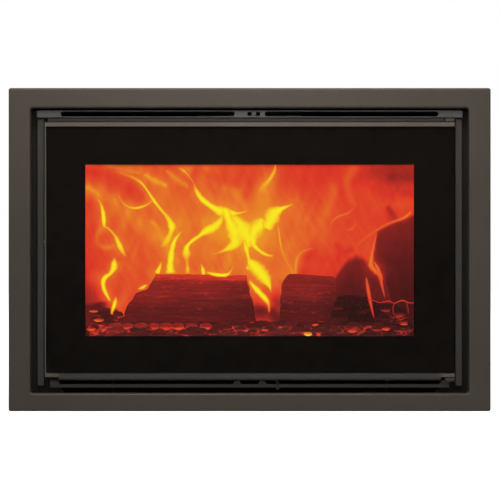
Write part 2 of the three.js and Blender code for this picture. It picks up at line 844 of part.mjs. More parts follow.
function hinges() {
  const collarRoom = hingeCollarHeight + 2 * seatGap;
  const upper = doorTop + collarRoom;
  const lower = doorBottom - collarRoom;
  hingeBracket("hinge_bracket_top", upper);
  hingeBracket("hinge_bracket_bottom", lower - hingeBracketHeight);
  hingePin("hinge_pin_top", doorTop - topTrimHeight + seatGap, doorTop + seatGap, upper, 1);
  hingePin("hinge_pin_bottom", doorBottom + bottomTrimHeight - seatGap, doorBottom - seatGap, lower, -1);
}

function catchKeeper() {
  const outer = -uprightInner + seatGap;
  const keeper = box(outer, outer + keeperWidth, fasciaFront, fasciaFront + keeperDepth,
    catchHeight - keeperHeight / 2, catchHeight + keeperHeight / 2);
  piece("catch_keeper", keeper, materials.zincSteel);
}

// The cam stands upright when the door is free and lies behind the keeper when the door is latched.
function catchCam() {
  const pivotX = -doorHalf + catchPivotInset;
  const reach = uprightInner - doorHalf + catchPivotInset - catchTipGap;
  const front = doorBack + runningGap;
  const arm = box(
    pivotX - catchCamWidth / 2, pivotX + catchCamWidth / 2,
    front, front + catchCamThickness,
    catchHeight, catchHeight + reach,
  );
  const bossLength = front + catchCamThickness + catchBossProud - doorPlateFront;
  const boss = new THREE.CylinderGeometry(catchBossRadius, catchBossRadius, bossLength, roundSegments);
  boss.translate(pivotX, doorPlateFront + bossLength / 2, catchHeight);
  piece("catch_cam", join(arm, boss), materials.zincSteel);
}

// ---------------------------------------------------------------- firebox

function airPorts(y0, y1, z0, z1) {
  return Array.from({ length: airPortCount }, (_, i) => {
    const left = -airPortsHalf + i * airPortPitch;
    return box(left, left + airPortWidth, y0, y1, z0 - cutOverrun, z1 + cutOverrun);
  });
}

function lowPortSpan() {
  const middle = (trayFront + trayBack) / 2;
  return [middle - lowPortDepth / 2, middle + lowPortDepth / 2];
}

function topPortSpan() {
  const middle = (airBoxFront + airBoxBack) / 2;
  return [middle - topPortDepth / 2, middle + topPortDepth / 2];
}

function fireboxShell() {
  const half = fireboxHalfWidth;
  const low = fireboxFloor + seatGap;
  const high = fireboxCeiling - seatGap;
  const base = cut(
    box(-half, half, fireboxFront, fireboxBack, fireboxBottomZ, fireboxFloor),
    ...airPorts(...lowPortSpan(), fireboxBottomZ, fireboxFloor),
  );
  piece("firebox_base", base, materials.blackPaint);

  const roof = cut(
    box(-half, half, fireboxFront, fireboxBack, fireboxCeiling, fireboxTop),
    cylinder(flueBore, 0, flueY, fireboxCeiling - cutOverrun, fireboxTop + cutOverrun, collarSegments),
    ...airPorts(...topPortSpan(), fireboxCeiling, fireboxTop),
  );
  piece("firebox_top", roof, materials.blackPaint);

  const back = box(-half, half, fireboxBack - fireboxPlate, fireboxBack, low, high);
  piece("firebox_back", back, materials.blackPaint);
  for (const { name, sign } of sides) {
    const side = mirroredBox(sign, fireboxInnerHalf, half,
      fireboxFront, fireboxBack - fireboxPlate - seatGap, low, high);
    piece(`firebox_${name}`, side, materials.blackPaint);
  }
}

function flueCollar() {
  const foot = fireboxTop + seatGap;
  const rim = foot + flueFlangeThickness;
  const top = foot + flueHeight;
  const profile = [
    [flueBore, foot],
    [flueRadius + flueFlangeWidth, foot],
    [flueRadius + flueFlangeWidth, rim],
    [flueRadius, rim],
    [flueRadius, top],
    [flueBore, top],
    [flueBore, foot],
  ].map(([radius, z]) => new THREE.Vector2(radius, z));
  const collar = new THREE.LatheGeometry(profile, collarSegments);
  piece("flue_collar", collar.rotateX(Math.PI / 2).translate(0, flueY, 0), materials.castIron);
}

function linerBricks() {
  const sideBack = brickBack - brickThickness - seatGap;
  for (const { name, sign } of sides) {
    const side = mirroredBox(sign, brickOuter - brickThickness, brickOuter,
      fireboxFront + seatGap, sideBack, linerBottom, linerTop);
    piece(`side_brick_${name}`, side, materials.brick);

    const back = mirroredBox(sign, seatGap / 2, brickOuter,
      brickBack - brickThickness, brickBack, linerBottom, linerTop);
    piece(`back_brick_${name}`, back, materials.brick);

    const base = cut(
      mirroredBox(sign, seatGap / 2, brickOuter, fireboxFront + seatGap, brickBack,
        fireboxFloor + seatGap, hearthTop),
      box(-grateHalfWidth, grateHalfWidth, grateFront, grateBack,
        fireboxFloor - cutOverrun, hearthTop + cutOverrun),
    );
    piece(`base_brick_${name}`, base, materials.brick);
  }
}

function baffle() {
  const plate = box(-brickOuter, brickOuter, fireboxFront + baffleFrontGap, brickBack,
    linerTop + seatGap, linerTop + seatGap + baffleThickness);
  piece("baffle", plate, materials.brick);
}

function logGuard() {
  const front = fireboxFront + guardSetback;
  const half = linerInnerHalf - guardSideGap;
  const bar = cut(
    box(-half, half, front, front + guardThickness, linerBottom, linerBottom + guardHeight),
    box(-half + guardHeight, half - guardHeight, front - cutOverrun, front + guardThickness + cutOverrun,
      linerBottom - cutOverrun, linerBottom + guardThickness),
  );
  piece("log_guard", bar, materials.castIron);
}

function grate() {
  const half = grateHalfWidth - seatGap;
  const front = grateFront + seatGap;
  const back = grateBack - seatGap;
  const low = hearthTop - grateThickness;
  const slotLeft = -half + grateRim;
  const pitch = (2 * (half - grateRim) - grateSlotWidth) / (grateSlotCount - 1);
  const slots = Array.from({ length: grateSlotCount }, (_, i) =>
    box(slotLeft + i * pitch, slotLeft + i * pitch + grateSlotWidth,
      front + grateRim, back - grateRim, low - cutOverrun, hearthTop + cutOverrun));
  const legs = [];
  for (const x of [-half, half - grateLegWidth]) {
    for (const y of [front, back - grateLegWidth]) {
      legs.push(box(x, x + grateLegWidth, y, y + grateLegWidth, fireboxFloor + seatGap, low + cutOverrun));
    }
  }
  const plate = cut(box(-half, half, front, back, low, hearthTop), ...slots);
  piece("grate", join(plate, ...legs), materials.castIron);
}

function ashPan() {
  const half = grateHalfWidth - panSideGap;
  const front = grateFront + panFrontGap;
  const back = grateBack - panBackGap;
  const floor = fireboxFloor + seatGap;
  const pan = cut(
    box(-half, half, front, back, floor, floor + panHeight),
    box(-half + panSheet, half - panSheet, front + panSheet, back - panSheet,
      floor + panSheet, floor + panHeight + cutOverrun),
  );
  piece("ash_pan", pan, materials.casingSteel);
}

// ---------------------------------------------------------------- air controls

function airwashBox() {
  const half = airPortsHalf + airBoxEndMargin;
  const inner = airBoxSheet;
  const lid = airBoxTop - airBoxSheet;
  const shell = cut(
    box(-half, half, airBoxFront, airBoxBack, airBoxBottom, airBoxTop),
    box(-half + inner, half - inner, airBoxFront + inner, airBoxBack - inner,
      airBoxBottom - cutOverrun, lid),
    ...airPorts(...topPortSpan(), lid, airBoxTop),
  );
  piece("airwash_box", shell, materials.casingSteel);
}

function topAirSlide() {
  const low = airBoxTop + runningGap;
  const high = low + slideSheet;
  const front = airBoxFront;
  const knobLeft = controlSlotCentreX - topKnobWidth / 2;
  const knobTop = controlSlotTop - topKnobDrop;
  const plate = cut(
    box(-slideHalfWidth, slideHalfWidth, front, airBoxBack, low, high),
    ...airPorts(...topPortSpan(), low, high),
  );
  const knobBack = fasciaFront - runningGap;
  const slide = join(
    plate,
    box(knobLeft, knobLeft + topKnobWidth, knobBack - cutOverrun, front + cutOverrun, low, high),
    box(knobLeft, knobLeft + topKnobWidth, knobBack - topKnobDepth, knobBack,
      knobTop - topKnobHeight, knobTop),
  );
  piece("top_air_slide", slide, materials.zincSteel);
}

// Hangs behind the top ports and turns their air down over the glass.
function airwashDeflector() {
  const wall = fireboxFront + deflectorDepth;
  const high = fireboxCeiling - seatGap;
  const half = fireboxInnerHalf - deflectorSideGap;
  const section = bentSheet(
    [
      [wall + deflectorLip, high - airBoxSheet / 2],
      [wall, high - airBoxSheet / 2],
      [wall, high - deflectorHeight],
      [wall - deflectorLip, high - deflectorHeight - deflectorLip / 2],
    ],
    airBoxSheet,
  );
  piece("airwash_deflector", alongX(section, -half, half), materials.casingSteel);
}

function primaryAirTray() {
  const floorTop = lowSlideBottom - runningGap;
  const floorBottom = floorTop - airBoxSheet;
  const wall = airBoxSheet;
  const armLeft = lowKnobCentreX - lowKnobWidth / 2 - lowKnobTravelLeft - runningGap;
  const armRight = lowKnobCentreX + lowKnobWidth / 2 + lowKnobTravelRight + runningGap;
  const tray = cut(
    box(-trayLeft, trayRight, trayFront - wall, trayBack + wall, floorBottom, trayTop),
    box(-trayLeft - cutOverrun, trayRight + cutOverrun, trayFront, trayBack, floorTop, trayTop + cutOverrun),
    box(armLeft, armRight, trayFront - wall - cutOverrun, trayFront + cutOverrun,
      floorTop, trayTop + cutOverrun),
    box(-airPortsHalf, airPortsHalf, ...lowPortSpan(), floorBottom - cutOverrun, floorTop + cutOverrun),
  );
  piece("primary_air_tray", tray, materials.casingSteel);
}

function primaryAirSlide() {
  const front = trayFront + runningGap;
  const back = trayBack - runningGap;
  const level = (lowSlideBottom + lowSlideTop) / 2;
  const armLevel = lowerStripBottom - lowArmDrop;
  const knobY = fasciaFront - runningGap - slideSheet / 2;
  const plate = cut(
    box(-slideHalfWidth, slideHalfWidth, front, back, lowSlideBottom, lowSlideTop),
    ...airPorts(...lowPortSpan(), lowSlideBottom, lowSlideTop),
  );
  const arm = bentSheet(
    [
      [front + cutOverrun, level],
      [frontPlateBack + lowArmSetback, level],
      [frontPlateBack + lowArmSetback, armLevel],
      [knobY, armLevel],
      [knobY, lowerStripTop],
    ],
    slideSheet,
  );
  const left = lowKnobCentreX - lowKnobWidth / 2;
  piece("primary_air_slide", join(plate, alongX(arm, left, left + lowKnobWidth)), materials.zincSteel);
}

// ---------------------------------------------------------------- fire

function emberBed() {
  const section = polygon([
    [emberFront, linerBottom],
    [emberBack, linerBottom],
    [emberBack, linerBottom + emberHeight - emberSlope / 2],
    [emberBack - emberSlope, linerBottom + emberHeight],
    [emberFront + emberSlope, linerBottom + emberHeight],
    [emberFront, linerBottom + emberHeight - emberSlope],
  ]);
  piece("ember_bed", alongX(section, -emberHalf, emberHalf), materials.ember);
}

// A split log lying along X on the embers: a rough round section that no two logs share.
function splitLog(name, centreX, length, radius, turn) {
  const floor = linerBottom + emberHeight + seatGap;
  const centreY = (emberFront + emberBack) / 2;
  const outline = Array.from({ length: logSides }, (_, i) => {
    const angle = (2 * Math.PI * i) / logSides;
    const reach = radius * (1 - logRidgeShare + logRidgeShare * Math.cos(logRidges * angle + turn));
    return [reach * Math.cos(angle), reach * Math.sin(angle)];
  });
  const lowest = Math.min(...outline.map(([, z]) => z));
  const section = polygon(outline.map(([y, z]) => [centreY + y, floor - lowest + z]));
  const settings = {
    bevelEnabled: true, bevelSize: logBevel, bevelThickness: logBevel,
    bevelOffset: -logBevel, bevelSegments: 1,
  };
  const half = length / 2 - logBevel;
  piece(name, alongX(section, centreX - half, centreX + half, settings), materials.wood);
}

function fire() {
  emberBed();
  splitLog("log_left", bigLogInset - emberHalf, bigLogLength, bigLogRadius, 0);
  splitLog("log_right", emberHalf - rightLogInset, rightLogLength, rightLogRadius, 1.2);
  splitLog("log_charred", emberHalf - charredLogInset, charredLogLength, charredLogRadius, 2.4);
}

// ---------------------------------------------------------------- the whole insert

surroundFrame();
casingFlange();
frameClips();
casing();
levellingFeet();
bearers();
frontPlate();
topGrille();
lintelLip();
uprights();
lowerGrille();
doorGlass();
doorFrame();
ropeSeal();
glassGasket();
doorTrims();
doorRail();
hinges();
catchKeeper();
catchCam();
fireboxShell();
flueCollar();
linerBricks();
baffle();
logGuard();
grate();
ashPan();
airwashBox();
topAirSlide();
airwashDeflector();
primaryAirTray();
primaryAirSlide();
fire();

insert.position.y = -(frameFront + casingDepth) / 2;
const group = new THREE.Group();
group.add(insert);

export default group;
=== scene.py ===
import math
import random

import bpy
import numpy as np
from mathutils import Matrix, Vector, noise


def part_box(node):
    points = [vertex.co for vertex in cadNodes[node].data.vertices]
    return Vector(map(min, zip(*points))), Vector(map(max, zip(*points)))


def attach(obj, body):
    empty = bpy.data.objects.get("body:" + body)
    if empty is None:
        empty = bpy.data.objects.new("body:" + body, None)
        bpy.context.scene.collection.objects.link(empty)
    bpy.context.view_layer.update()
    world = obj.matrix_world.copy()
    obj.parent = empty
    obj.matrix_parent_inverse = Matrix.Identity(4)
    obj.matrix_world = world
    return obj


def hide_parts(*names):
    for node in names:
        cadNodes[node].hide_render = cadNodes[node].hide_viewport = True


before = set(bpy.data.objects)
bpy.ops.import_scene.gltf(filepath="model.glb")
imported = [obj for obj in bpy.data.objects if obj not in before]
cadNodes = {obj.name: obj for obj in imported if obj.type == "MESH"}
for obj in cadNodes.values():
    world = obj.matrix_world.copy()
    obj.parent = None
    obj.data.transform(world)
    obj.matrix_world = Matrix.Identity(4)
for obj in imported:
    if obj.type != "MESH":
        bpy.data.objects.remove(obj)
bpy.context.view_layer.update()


# Selecting, settling and finishing a piece

def deselectAll():
    if bpy.context.mode != "OBJECT":
        bpy.ops.object.mode_set(mode="OBJECT")
    bpy.ops.object.select_all(action="DESELECT")


def makeActive(piece):
    deselectAll()
    piece.select_set(True)
    bpy.context.view_layer.objects.active = piece


def settle(piece):  # puts the place, turn and size into the mesh
    makeActive(piece)
    bpy.ops.object.transform_apply(location=True, rotation=True, scale=True)
    return piece


def applyModifiers(piece):
    makeActive(piece)
    for modifier in list(piece.modifiers):
        bpy.ops.object.modifier_apply(modifier=modifier.name)
    return piece


def smooth(piece, angle=40):
    makeActive(piece)
    bpy.ops.object.shade_smooth_by_angle(angle=math.radians(angle))
    return piece


def roundEdges(piece, width, segments=3, angle=35):
    bevel = piece.modifiers.new("edges", "BEVEL")
    bevel.width = width
    bevel.segments = segments
    bevel.limit_method = "ANGLE"
    bevel.angle_limit = math.radians(angle)
    bevel.harden_normals = False
    return applyModifiers(piece)


def cleanNormals(piece):
    makeActive(piece)
    bpy.ops.object.mode_set(mode="EDIT")
    bpy.ops.mesh.select_all(action="SELECT")
    bpy.ops.mesh.remove_doubles(threshold=1e-6)
    bpy.ops.mesh.normals_make_consistent(inside=False)
    bpy.ops.object.mode_set(mode="OBJECT")
    return piece


def selectParts(piece, kind, test):  # goes into edit mode with only the edges or faces that pass the test
    makeActive(piece)
    bpy.ops.object.mode_set(mode="EDIT")
    bpy.ops.mesh.select_mode(type=kind)
    bpy.ops.mesh.select_all(action="DESELECT")
    bpy.ops.object.mode_set(mode="OBJECT")
    for part in piece.data.edges if kind == "EDGE" else piece.data.polygons:
        part.select = test(part)
    bpy.ops.object.mode_set(mode="EDIT")


def joinAll(name, pieces):
    deselectAll()
    for piece in pieces:
        piece.select_set(True)
    bpy.context.view_layer.objects.active = pieces[0]
    if len(pieces) > 1:
        bpy.ops.object.join()
    joined = bpy.context.view_layer.objects.active
    joined.name = name
    joined.data.name = name
    return joined


def addBlock(name, low, high):  # a cuboid between two corners
    deselectAll()
    low, high = Vector(low), Vector(high)
    bpy.ops.mesh.primitive_cube_add(size=1, location=(low + high) / 2)
    block = bpy.context.object
    block.name = name
    block.scale = high - low
    return settle(block)


def addRod(name, centre, radius, length, axis="Z", sides=24):
    deselectAll()
    turns = {"X": (0, math.pi / 2, 0), "Y": (math.pi / 2, 0, 0), "Z": (0, 0, 0)}
    bpy.ops.mesh.primitive_cylinder_add(
        vertices=sides, radius=radius, depth=length, location=centre, rotation=turns[axis]
    )
    rod = bpy.context.object
    rod.name = name
    return settle(rod)


def addAttributes(piece, **fields):  # a value for each vertex, which the materials read
    for label, values in fields.items():
        attribute = piece.data.attributes.new(label, "FLOAT", "POINT")
        attribute.data.foreach_set("value", np.asarray(values, dtype=np.float32))


def finish(piece, material, body, slot, *replaced):
    piece.data.materials.clear()
    piece.data.materials.append(material)
    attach(piece, body)
    if replaced:
        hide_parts(*replaced)
    return piece


# Shader helpers

def linear(red, green, blue):  # a colour as read from a picture, 0 to 255, made linear
    def one(value):
        share = value / 255
        return share / 12.92 if share <= 0.04045 else ((share + 0.055) / 1.055) ** 2.4

    return (one(red), one(green), one(blue), 1.0)


def addNode(tree, kind, values=None, **settings):
    node = tree.nodes.new(kind)
    for key, value in settings.items():
        setattr(node, key, value)
    for key, value in (values or {}).items():
        node.inputs[key].default_value = value
    return node


def link(tree, source, target):
    tree.links.new(source, target)


def mathNode(tree, operation, first, second=None, clamp=False):
    node = addNode(tree, "ShaderNodeMath", operation=operation, use_clamp=clamp)
    for index, value in enumerate((first, second)):
        if isinstance(value, (int, float)):
            node.inputs[index].default_value = value
        elif value is not None:
            link(tree, value, node.inputs[index])
    return node.outputs[0]


def times(tree, first, second, clamp=False):
    return mathNode(tree, "MULTIPLY", first, second, clamp)


def plus(tree, first, second, clamp=False):
    return mathNode(tree, "ADD", first, second, clamp)


def addRamp(tree, source, stops):
    ramp = addNode(tree, "ShaderNodeValToRGB")
    elements = ramp.color_ramp.elements
    while len(elements) < len(stops):
        elements.new(0.5)
    for element, (place, colour) in zip(elements, stops):
        element.position = place
        element.color = colour if len(colour) == 4 else (*colour, 1.0)
    link(tree, source, ramp.inputs["Fac"])
    return ramp.outputs["Color"]


def rampInto(tree, source, socket, *stops):
    link(tree, addRamp(tree, source, stops), socket)


def grey(value):
    return (value, value, value, 1.0)


def attributeValue(tree, label):
    return addNode(tree, "ShaderNodeAttribute", attribute_name=label).outputs["Fac"]


def mixColours(tree, factor, first, second, blend="MIX"):
    node = addNode(tree, "ShaderNodeMix", data_type="RGBA", blend_type=blend)
    for label, value in (("Factor", factor), ("A", first), ("B", second)):
        socket = node.inputs[label]
        if hasattr(value, "is_linked"):
            link(tree, value, socket)
        else:
            socket.default_value = value
    return node.outputs["Result"]


def newMaterial(name, **plain):
    material = bpy.data.materials.new(name)
    material.use_nodes = True
    tree = material.node_tree
    shader = tree.nodes["Principled BSDF"]
    for key, value in plain.items():
        shader.inputs[key].default_value = value
    return material, tree, shader


def newGroup(name, inputs, outputs):
    tree = bpy.data.node_groups.new(name, "ShaderNodeTree")
    for label, value in inputs.items():
        kind = "NodeSocketColor" if isinstance(value, tuple) else "NodeSocketFloat"
        socket = tree.interface.new_socket(name=label, in_out="INPUT", socket_type=kind)
        socket.default_value = value
    for label, kind in outputs.items():
        tree.interface.new_socket(name=label, in_out="OUTPUT", socket_type=f"NodeSocket{kind}")
    return tree, addNode(tree, "NodeGroupInput"), addNode(tree, "NodeGroupOutput")


def objectPlace(tree, scale=(1, 1, 1)):
    place = addNode(tree, "ShaderNodeTexCoord")
    mapping = addNode(tree, "ShaderNodeMapping", {"Scale": scale})
    link(tree, place.outputs["Object"], mapping.inputs["Vector"])
    return mapping.outputs["Vector"]


def addNoise(tree, place, scale, detail=3.0, roughness=0.55, distortion=0.0):
    node = addNode(tree, "ShaderNodeTexNoise", {
        "Detail": detail, "Roughness": roughness, "Distortion": distortion})
    if hasattr(scale, "is_linked"):
        link(tree, scale, node.inputs["Scale"])
    else:
        node.inputs["Scale"].default_value = scale
    link(tree, place, node.inputs["Vector"])
    return node.outputs["Fac"]


def useGroup(tree, group, **values):
    node = addNode(tree, "ShaderNodeGroup", node_tree=group)
    for label, value in values.items():
        node.inputs[label].default_value = value
    return node


def addBump(tree, shader, height, strength, distance):
    bump = addNode(tree, "ShaderNodeBump", {"Strength": strength, "Distance": distance})
    link(tree, height, bump.inputs["Height"])
    link(tree, bump.outputs["Normal"], shader.inputs["Normal"])


# Effects that several finishes share

def makeGrainGroup():  # fine grain over broad, faint clouds: powder coat, castings, board
    tree, source, sink = newGroup(
        "surfaceGrain",
        {"Color": grey(0.5), "Grain Scale": 900.0, "Cloud Scale": 9.0,
         "Contrast": 0.2, "Roughness": 0.5, "Spread": 0.12},
        {"Color": "Color", "Roughness": "Float", "Height": "Float"},
    )
    place = objectPlace(tree)
    grain = addNoise(tree, place, source.outputs["Grain Scale"], detail=2.0)
    cloud = addNoise(tree, place, source.outputs["Cloud Scale"], detail=4.0)
    blend = plus(tree, times(tree, grain, 0.55), times(tree, cloud, 0.45))
    centred = mathNode(tree, "SUBTRACT", blend, 0.5)
    swing = times(tree, centred, times(tree, source.outputs["Contrast"], 4.0))
    factor = plus(tree, swing, 1.0)
    bright = addNode(tree, "ShaderNodeCombineColor")
    for channel in ("Red", "Green", "Blue"):
        link(tree, factor, bright.inputs[channel])
    colour = mixColours(tree, 1.0, source.outputs["Color"], bright.outputs["Color"], "MULTIPLY")
    spread = times(tree, centred, times(tree, source.outputs["Spread"], 4.0))
    rough = plus(tree, source.outputs["Roughness"], spread, clamp=True)
    link(tree, colour, sink.inputs["Color"])
    link(tree, rough, sink.inputs["Roughness"])
    link(tree, grain, sink.inputs["Height"])
    return tree


def makeSpangleGroup():  # the crystal facets of hot-dip galvanised sheet
    tree, source, sink = newGroup(
        "zincSpangle", {"Cell Scale": 70.0}, {"Shade": "Float", "Roughness": "Float"})
    place = objectPlace(tree)
    warp = addNode(tree, "ShaderNodeTexNoise", {"Scale": 30.0, "Detail": 2.0})
    link(tree, place, warp.inputs["Vector"])
    moved = addNode(tree, "ShaderNodeVectorMath", operation="MULTIPLY_ADD")
    link(tree, warp.outputs["Color"], moved.inputs[0])
    moved.inputs[1].default_value = (0.012, 0.012, 0.012)
    link(tree, place, moved.inputs[2])
    cells = addNode(tree, "ShaderNodeTexVoronoi", feature="F1")
    link(tree, source.outputs["Cell Scale"], cells.inputs["Scale"])
    link(tree, moved.outputs["Vector"], cells.inputs["Vector"])
    shade = addNode(tree, "ShaderNodeSeparateColor")
    link(tree, cells.outputs["Color"], shade.inputs["Color"])
    link(tree, shade.outputs["Red"], sink.inputs["Shade"])
    link(tree, plus(tree, times(tree, shade.outputs["Green"], 0.22), 0.34), sink.inputs["Roughness"])
    return tree


def makeSootGroup():  # grey-black bloom in patches
    tree, source, sink = newGroup(
        "sootBloom", {"Color": grey(0.5), "Soot": grey(0.01), "Amount": 0.5, "Scale": 11.0},
        {"Color": "Color", "Mask": "Float"},
    )
    place = objectPlace(tree)
    patches = addNoise(tree, place, source.outputs["Scale"], detail=6.0, roughness=0.62, distortion=0.4)
    spots = addRamp(tree, patches, [(0.32, grey(0.0)), (0.68, grey(1.0))])
    mask = times(tree, spots, source.outputs["Amount"], clamp=True)
    link(tree, mixColours(tree, mask, source.outputs["Color"], source.outputs["Soot"]), sink.inputs["Color"])
    link(tree, mask, sink.inputs["Mask"])
    return tree


def makeHeatGroup():  # the colours of a wood fire, from a dull maroon to yellow
    tree, source, sink = newGroup("fireHeat", {"Heat": 0.5}, {"Color": "Color"})
    heatColours = [
        (0.00, linear(44, 18, 17)), (0.15, linear(95, 28, 27)), (0.28, linear(150, 38, 34)),
        (0.42, linear(226, 57, 39)), (0.55, linear(233, 88, 42)), (0.68, linear(238, 122, 42)),
        (0.80, linear(244, 160, 38)), (0.90, linear(251, 206, 32)), (1.00, linear(255, 240, 35)),
    ]
    rampInto(tree, source.outputs["Heat"], sink.inputs["Color"], *heatColours)
    return tree


grainGroup = makeGrainGroup()
spangleGroup = makeSpangleGroup()
sootGroup = makeSootGroup()
heatGroup = makeHeatGroup()
print("stage: shared effects ready")


def emitHeat(tree, shader, warmth):
    heat = useGroup(tree, heatGroup)
    link(tree, warmth, heat.inputs["Heat"])
    link(tree, heat.outputs["Color"], shader.inputs["Emission Color"])


# Finishes

def grainyPaint(name, colour, roughness, metallic, grain=900.0, cloud=9.0, contrast=0.12, bump=0.06, **plain):
    material, tree, shader = newMaterial(name, Metallic=metallic, **plain)
    group = useGroup(tree, grainGroup, **{
        "Color": colour, "Grain Scale": grain, "Cloud Scale": cloud,
        "Contrast": contrast, "Roughness": roughness,
    })
    link(tree, group.outputs["Color"], shader.inputs["Base Color"])
    link(tree, group.outputs["Roughness"], shader.inputs["Roughness"])
    addBump(tree, shader, group.outputs["Height"], bump, 0.0004)
    return material


def insideMask(tree, half, back, low, high):  # 1 inside the middle of the casing's sheets
    parts = addNode(tree, "ShaderNodeSeparateXYZ")
    link(tree, objectPlace(tree), parts.inputs["Vector"])
    across = mathNode(tree, "LESS_THAN", mathNode(tree, "ABSOLUTE", parts.outputs["X"]), half)
    before = mathNode(tree, "LESS_THAN", parts.outputs["Y"], back)
    above = mathNode(tree, "GREATER_THAN", parts.outputs["Z"], low)
    below = mathNode(tree, "LESS_THAN", parts.outputs["Z"], high)
    return times(tree, times(tree, across, before), times(tree, above, below))


def galvanisedSheet():  # bright zinc outside, and near-black on the side that faces the firebox
    material, tree, shader = newMaterial("galvanised sheet")
    spangle = useGroup(tree, spangleGroup)
    darkInside = useGroup(tree, grainGroup, **{"Color": linear(30, 28, 26), "Contrast": 0.2, "Roughness": 0.65})
    right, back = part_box("casing_right"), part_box("casing_back")
    bottom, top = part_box("casing_bottom"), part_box("casing_top")
    mask = insideMask(
        tree, (right[0].x + right[1].x) / 2, (back[0].y + back[1].y) / 2,
        (bottom[0].z + bottom[1].z) / 2, (top[0].z + top[1].z) / 2)
    zinc = addRamp(tree, spangle.outputs["Shade"], [
        (0.0, linear(148, 152, 154)), (1.0, linear(188, 191, 192))])
    link(tree, mixColours(tree, mask, zinc, darkInside.outputs["Color"]), shader.inputs["Base Color"])
    rampInto(tree, mask, shader.inputs["Metallic"], (0.0, grey(0.85)), (1.0, grey(0.0)))
    rough = mathNode(tree, "MAXIMUM", spangle.outputs["Roughness"], times(tree, mask, 0.65))
    link(tree, rough, shader.inputs["Roughness"])
    addBump(tree, shader, spangle.outputs["Shade"], 0.04, 0.0005)
    return material


def brushedZinc():
    material, tree, shader = newMaterial("zinc plated steel", Metallic=0.9)
    streaks = addNoise(tree, objectPlace(tree, (60, 1500, 1500)), 1.0, detail=2.0)
    rampInto(tree, streaks, shader.inputs["Base Color"],
             (0.3, linear(150, 148, 142)), (0.7, linear(186, 184, 178)))
    rampInto(tree, streaks, shader.inputs["Roughness"], (0.2, grey(0.26)), (0.8, grey(0.42)))
    return material


def sootedFinish(
    name, colour, soot, amount, roughness, metallic, grain=260.0, bump=0.2, depth=0.0008, scale=11.0
):
    material, tree, shader = newMaterial(name, Metallic=metallic)
    surface = useGroup(tree, grainGroup, **{
        "Color": colour, "Grain Scale": grain, "Cloud Scale": 14.0, "Contrast": 0.25, "Roughness": roughness,
    })
    bloom = useGroup(tree, sootGroup, **{"Soot": soot, "Amount": amount, "Scale": scale})
    link(tree, surface.outputs["Color"], bloom.inputs["Color"])
    link(tree, bloom.outputs["Color"], shader.inputs["Base Color"])
    link(tree, surface.outputs["Roughness"], shader.inputs["Roughness"])
    addBump(tree, shader, surface.outputs["Height"], bump, depth)
    return material


finishes = {
    "framePaint": grainyPaint("frame paint", linear(67, 59, 51), 0.50, 0.2, contrast=0.10,
                              **{"Coat Weight": 0.35, "Coat Roughness": 0.3}),
    "fasciaPaint": grainyPaint("fascia paint", linear(60, 56, 53), 0.46, 0.2, contrast=0.10),
    "grillePaint": grainyPaint("grille paint", linear(104, 102, 100), 0.42, 0.25, contrast=0.10),
    "trimBronze": grainyPaint("trim bronze", linear(100, 89, 80), 0.36, 0.4, contrast=0.12),
    "stoveBlack": grainyPaint("slide black", linear(52, 50, 48), 0.5, 0.3),
    "blackPaint": sootedFinish("stove black", linear(27, 23, 19), linear(38, 33, 28), 0.35, 0.62, 0.1),
    "galvanised": galvanisedSheet(),
    "zinc": brushedZinc(),
    "castIron": sootedFinish("cast iron", linear(46, 44, 42), linear(24, 22, 21), 0.6, 0.72, 0.4,
                             grain=420.0, bump=0.45, depth=0.001),
    "brick": sootedFinish("vermiculite board", linear(176, 150, 112), linear(38, 28, 22), 0.85, 0.95, 0.0,
                          grain=340.0, bump=0.5, depth=0.0012, scale=7.0),
    "innerSteel": sootedFinish("firebox steel", linear(58, 54, 50), linear(20, 18, 17), 0.7, 0.7, 0.3),
}

nodeFinishes = {
    "framePaint": ["surround_frame"],
    "fasciaPaint": ["lintel_lip", "left_upright", "right_upright", "lower_grille", "hinge_bracket_top",
                    "hinge_bracket_bottom", "door_rail"],
    "grillePaint": ["top_grille", "top_air_slide"],
    "trimBronze": ["door_trim_top", "door_trim_bottom", "door_trim_left"],
    "blackPaint": ["front_plate", "door_frame"],
    "innerSteel": ["firebox_base", "firebox_top", "firebox_left", "firebox_right", "firebox_back"],
    "stoveBlack": ["airwash_box", "airwash_deflector", "hinge_pin_top", "hinge_pin_bottom",
                   "primary_air_slide"],
    "galvanised": ["casing_flange", "casing_bottom", "casing_top", "casing_left", "casing_right",
                   "casing_back", "bearer_left", "bearer_right", "ash_pan", "primary_air_tray",
                   "frame_clip_left", "frame_clip_right"],
    "zinc": ["levelling_foot_front_left", "levelling_foot_front_right", "levelling_foot_back_left",
             "levelling_foot_back_right", "catch_keeper", "catch_cam"],
    "castIron": ["flue_collar", "grate", "log_guard"],
    "brick": ["side_brick_left", "side_brick_right", "back_brick_left", "back_brick_right", "base_brick_left",
              "base_brick_right", "baffle"],
}


def paintNodes():
    for finishName, nodeNames in nodeFinishes.items():
        for nodeName in nodeNames:
            mesh = cadNodes[nodeName].data
            mesh.materials.clear()
            mesh.materials.append(finishes[finishName])


paintNodes()
print("stage: metal finishes on")


# Screws, modelled once and copied

screwSettings = {
    "headRadius": 0.0040,
    "headHeight": 0.0018,
    "socketRadius": 0.0019,
    "socketDepth": 0.0011,
    "edgeDistance": 0.014,  # from a sheet's edge to the screw
    "sidePitch": 0.14,
    "topPitch": 0.12,
}


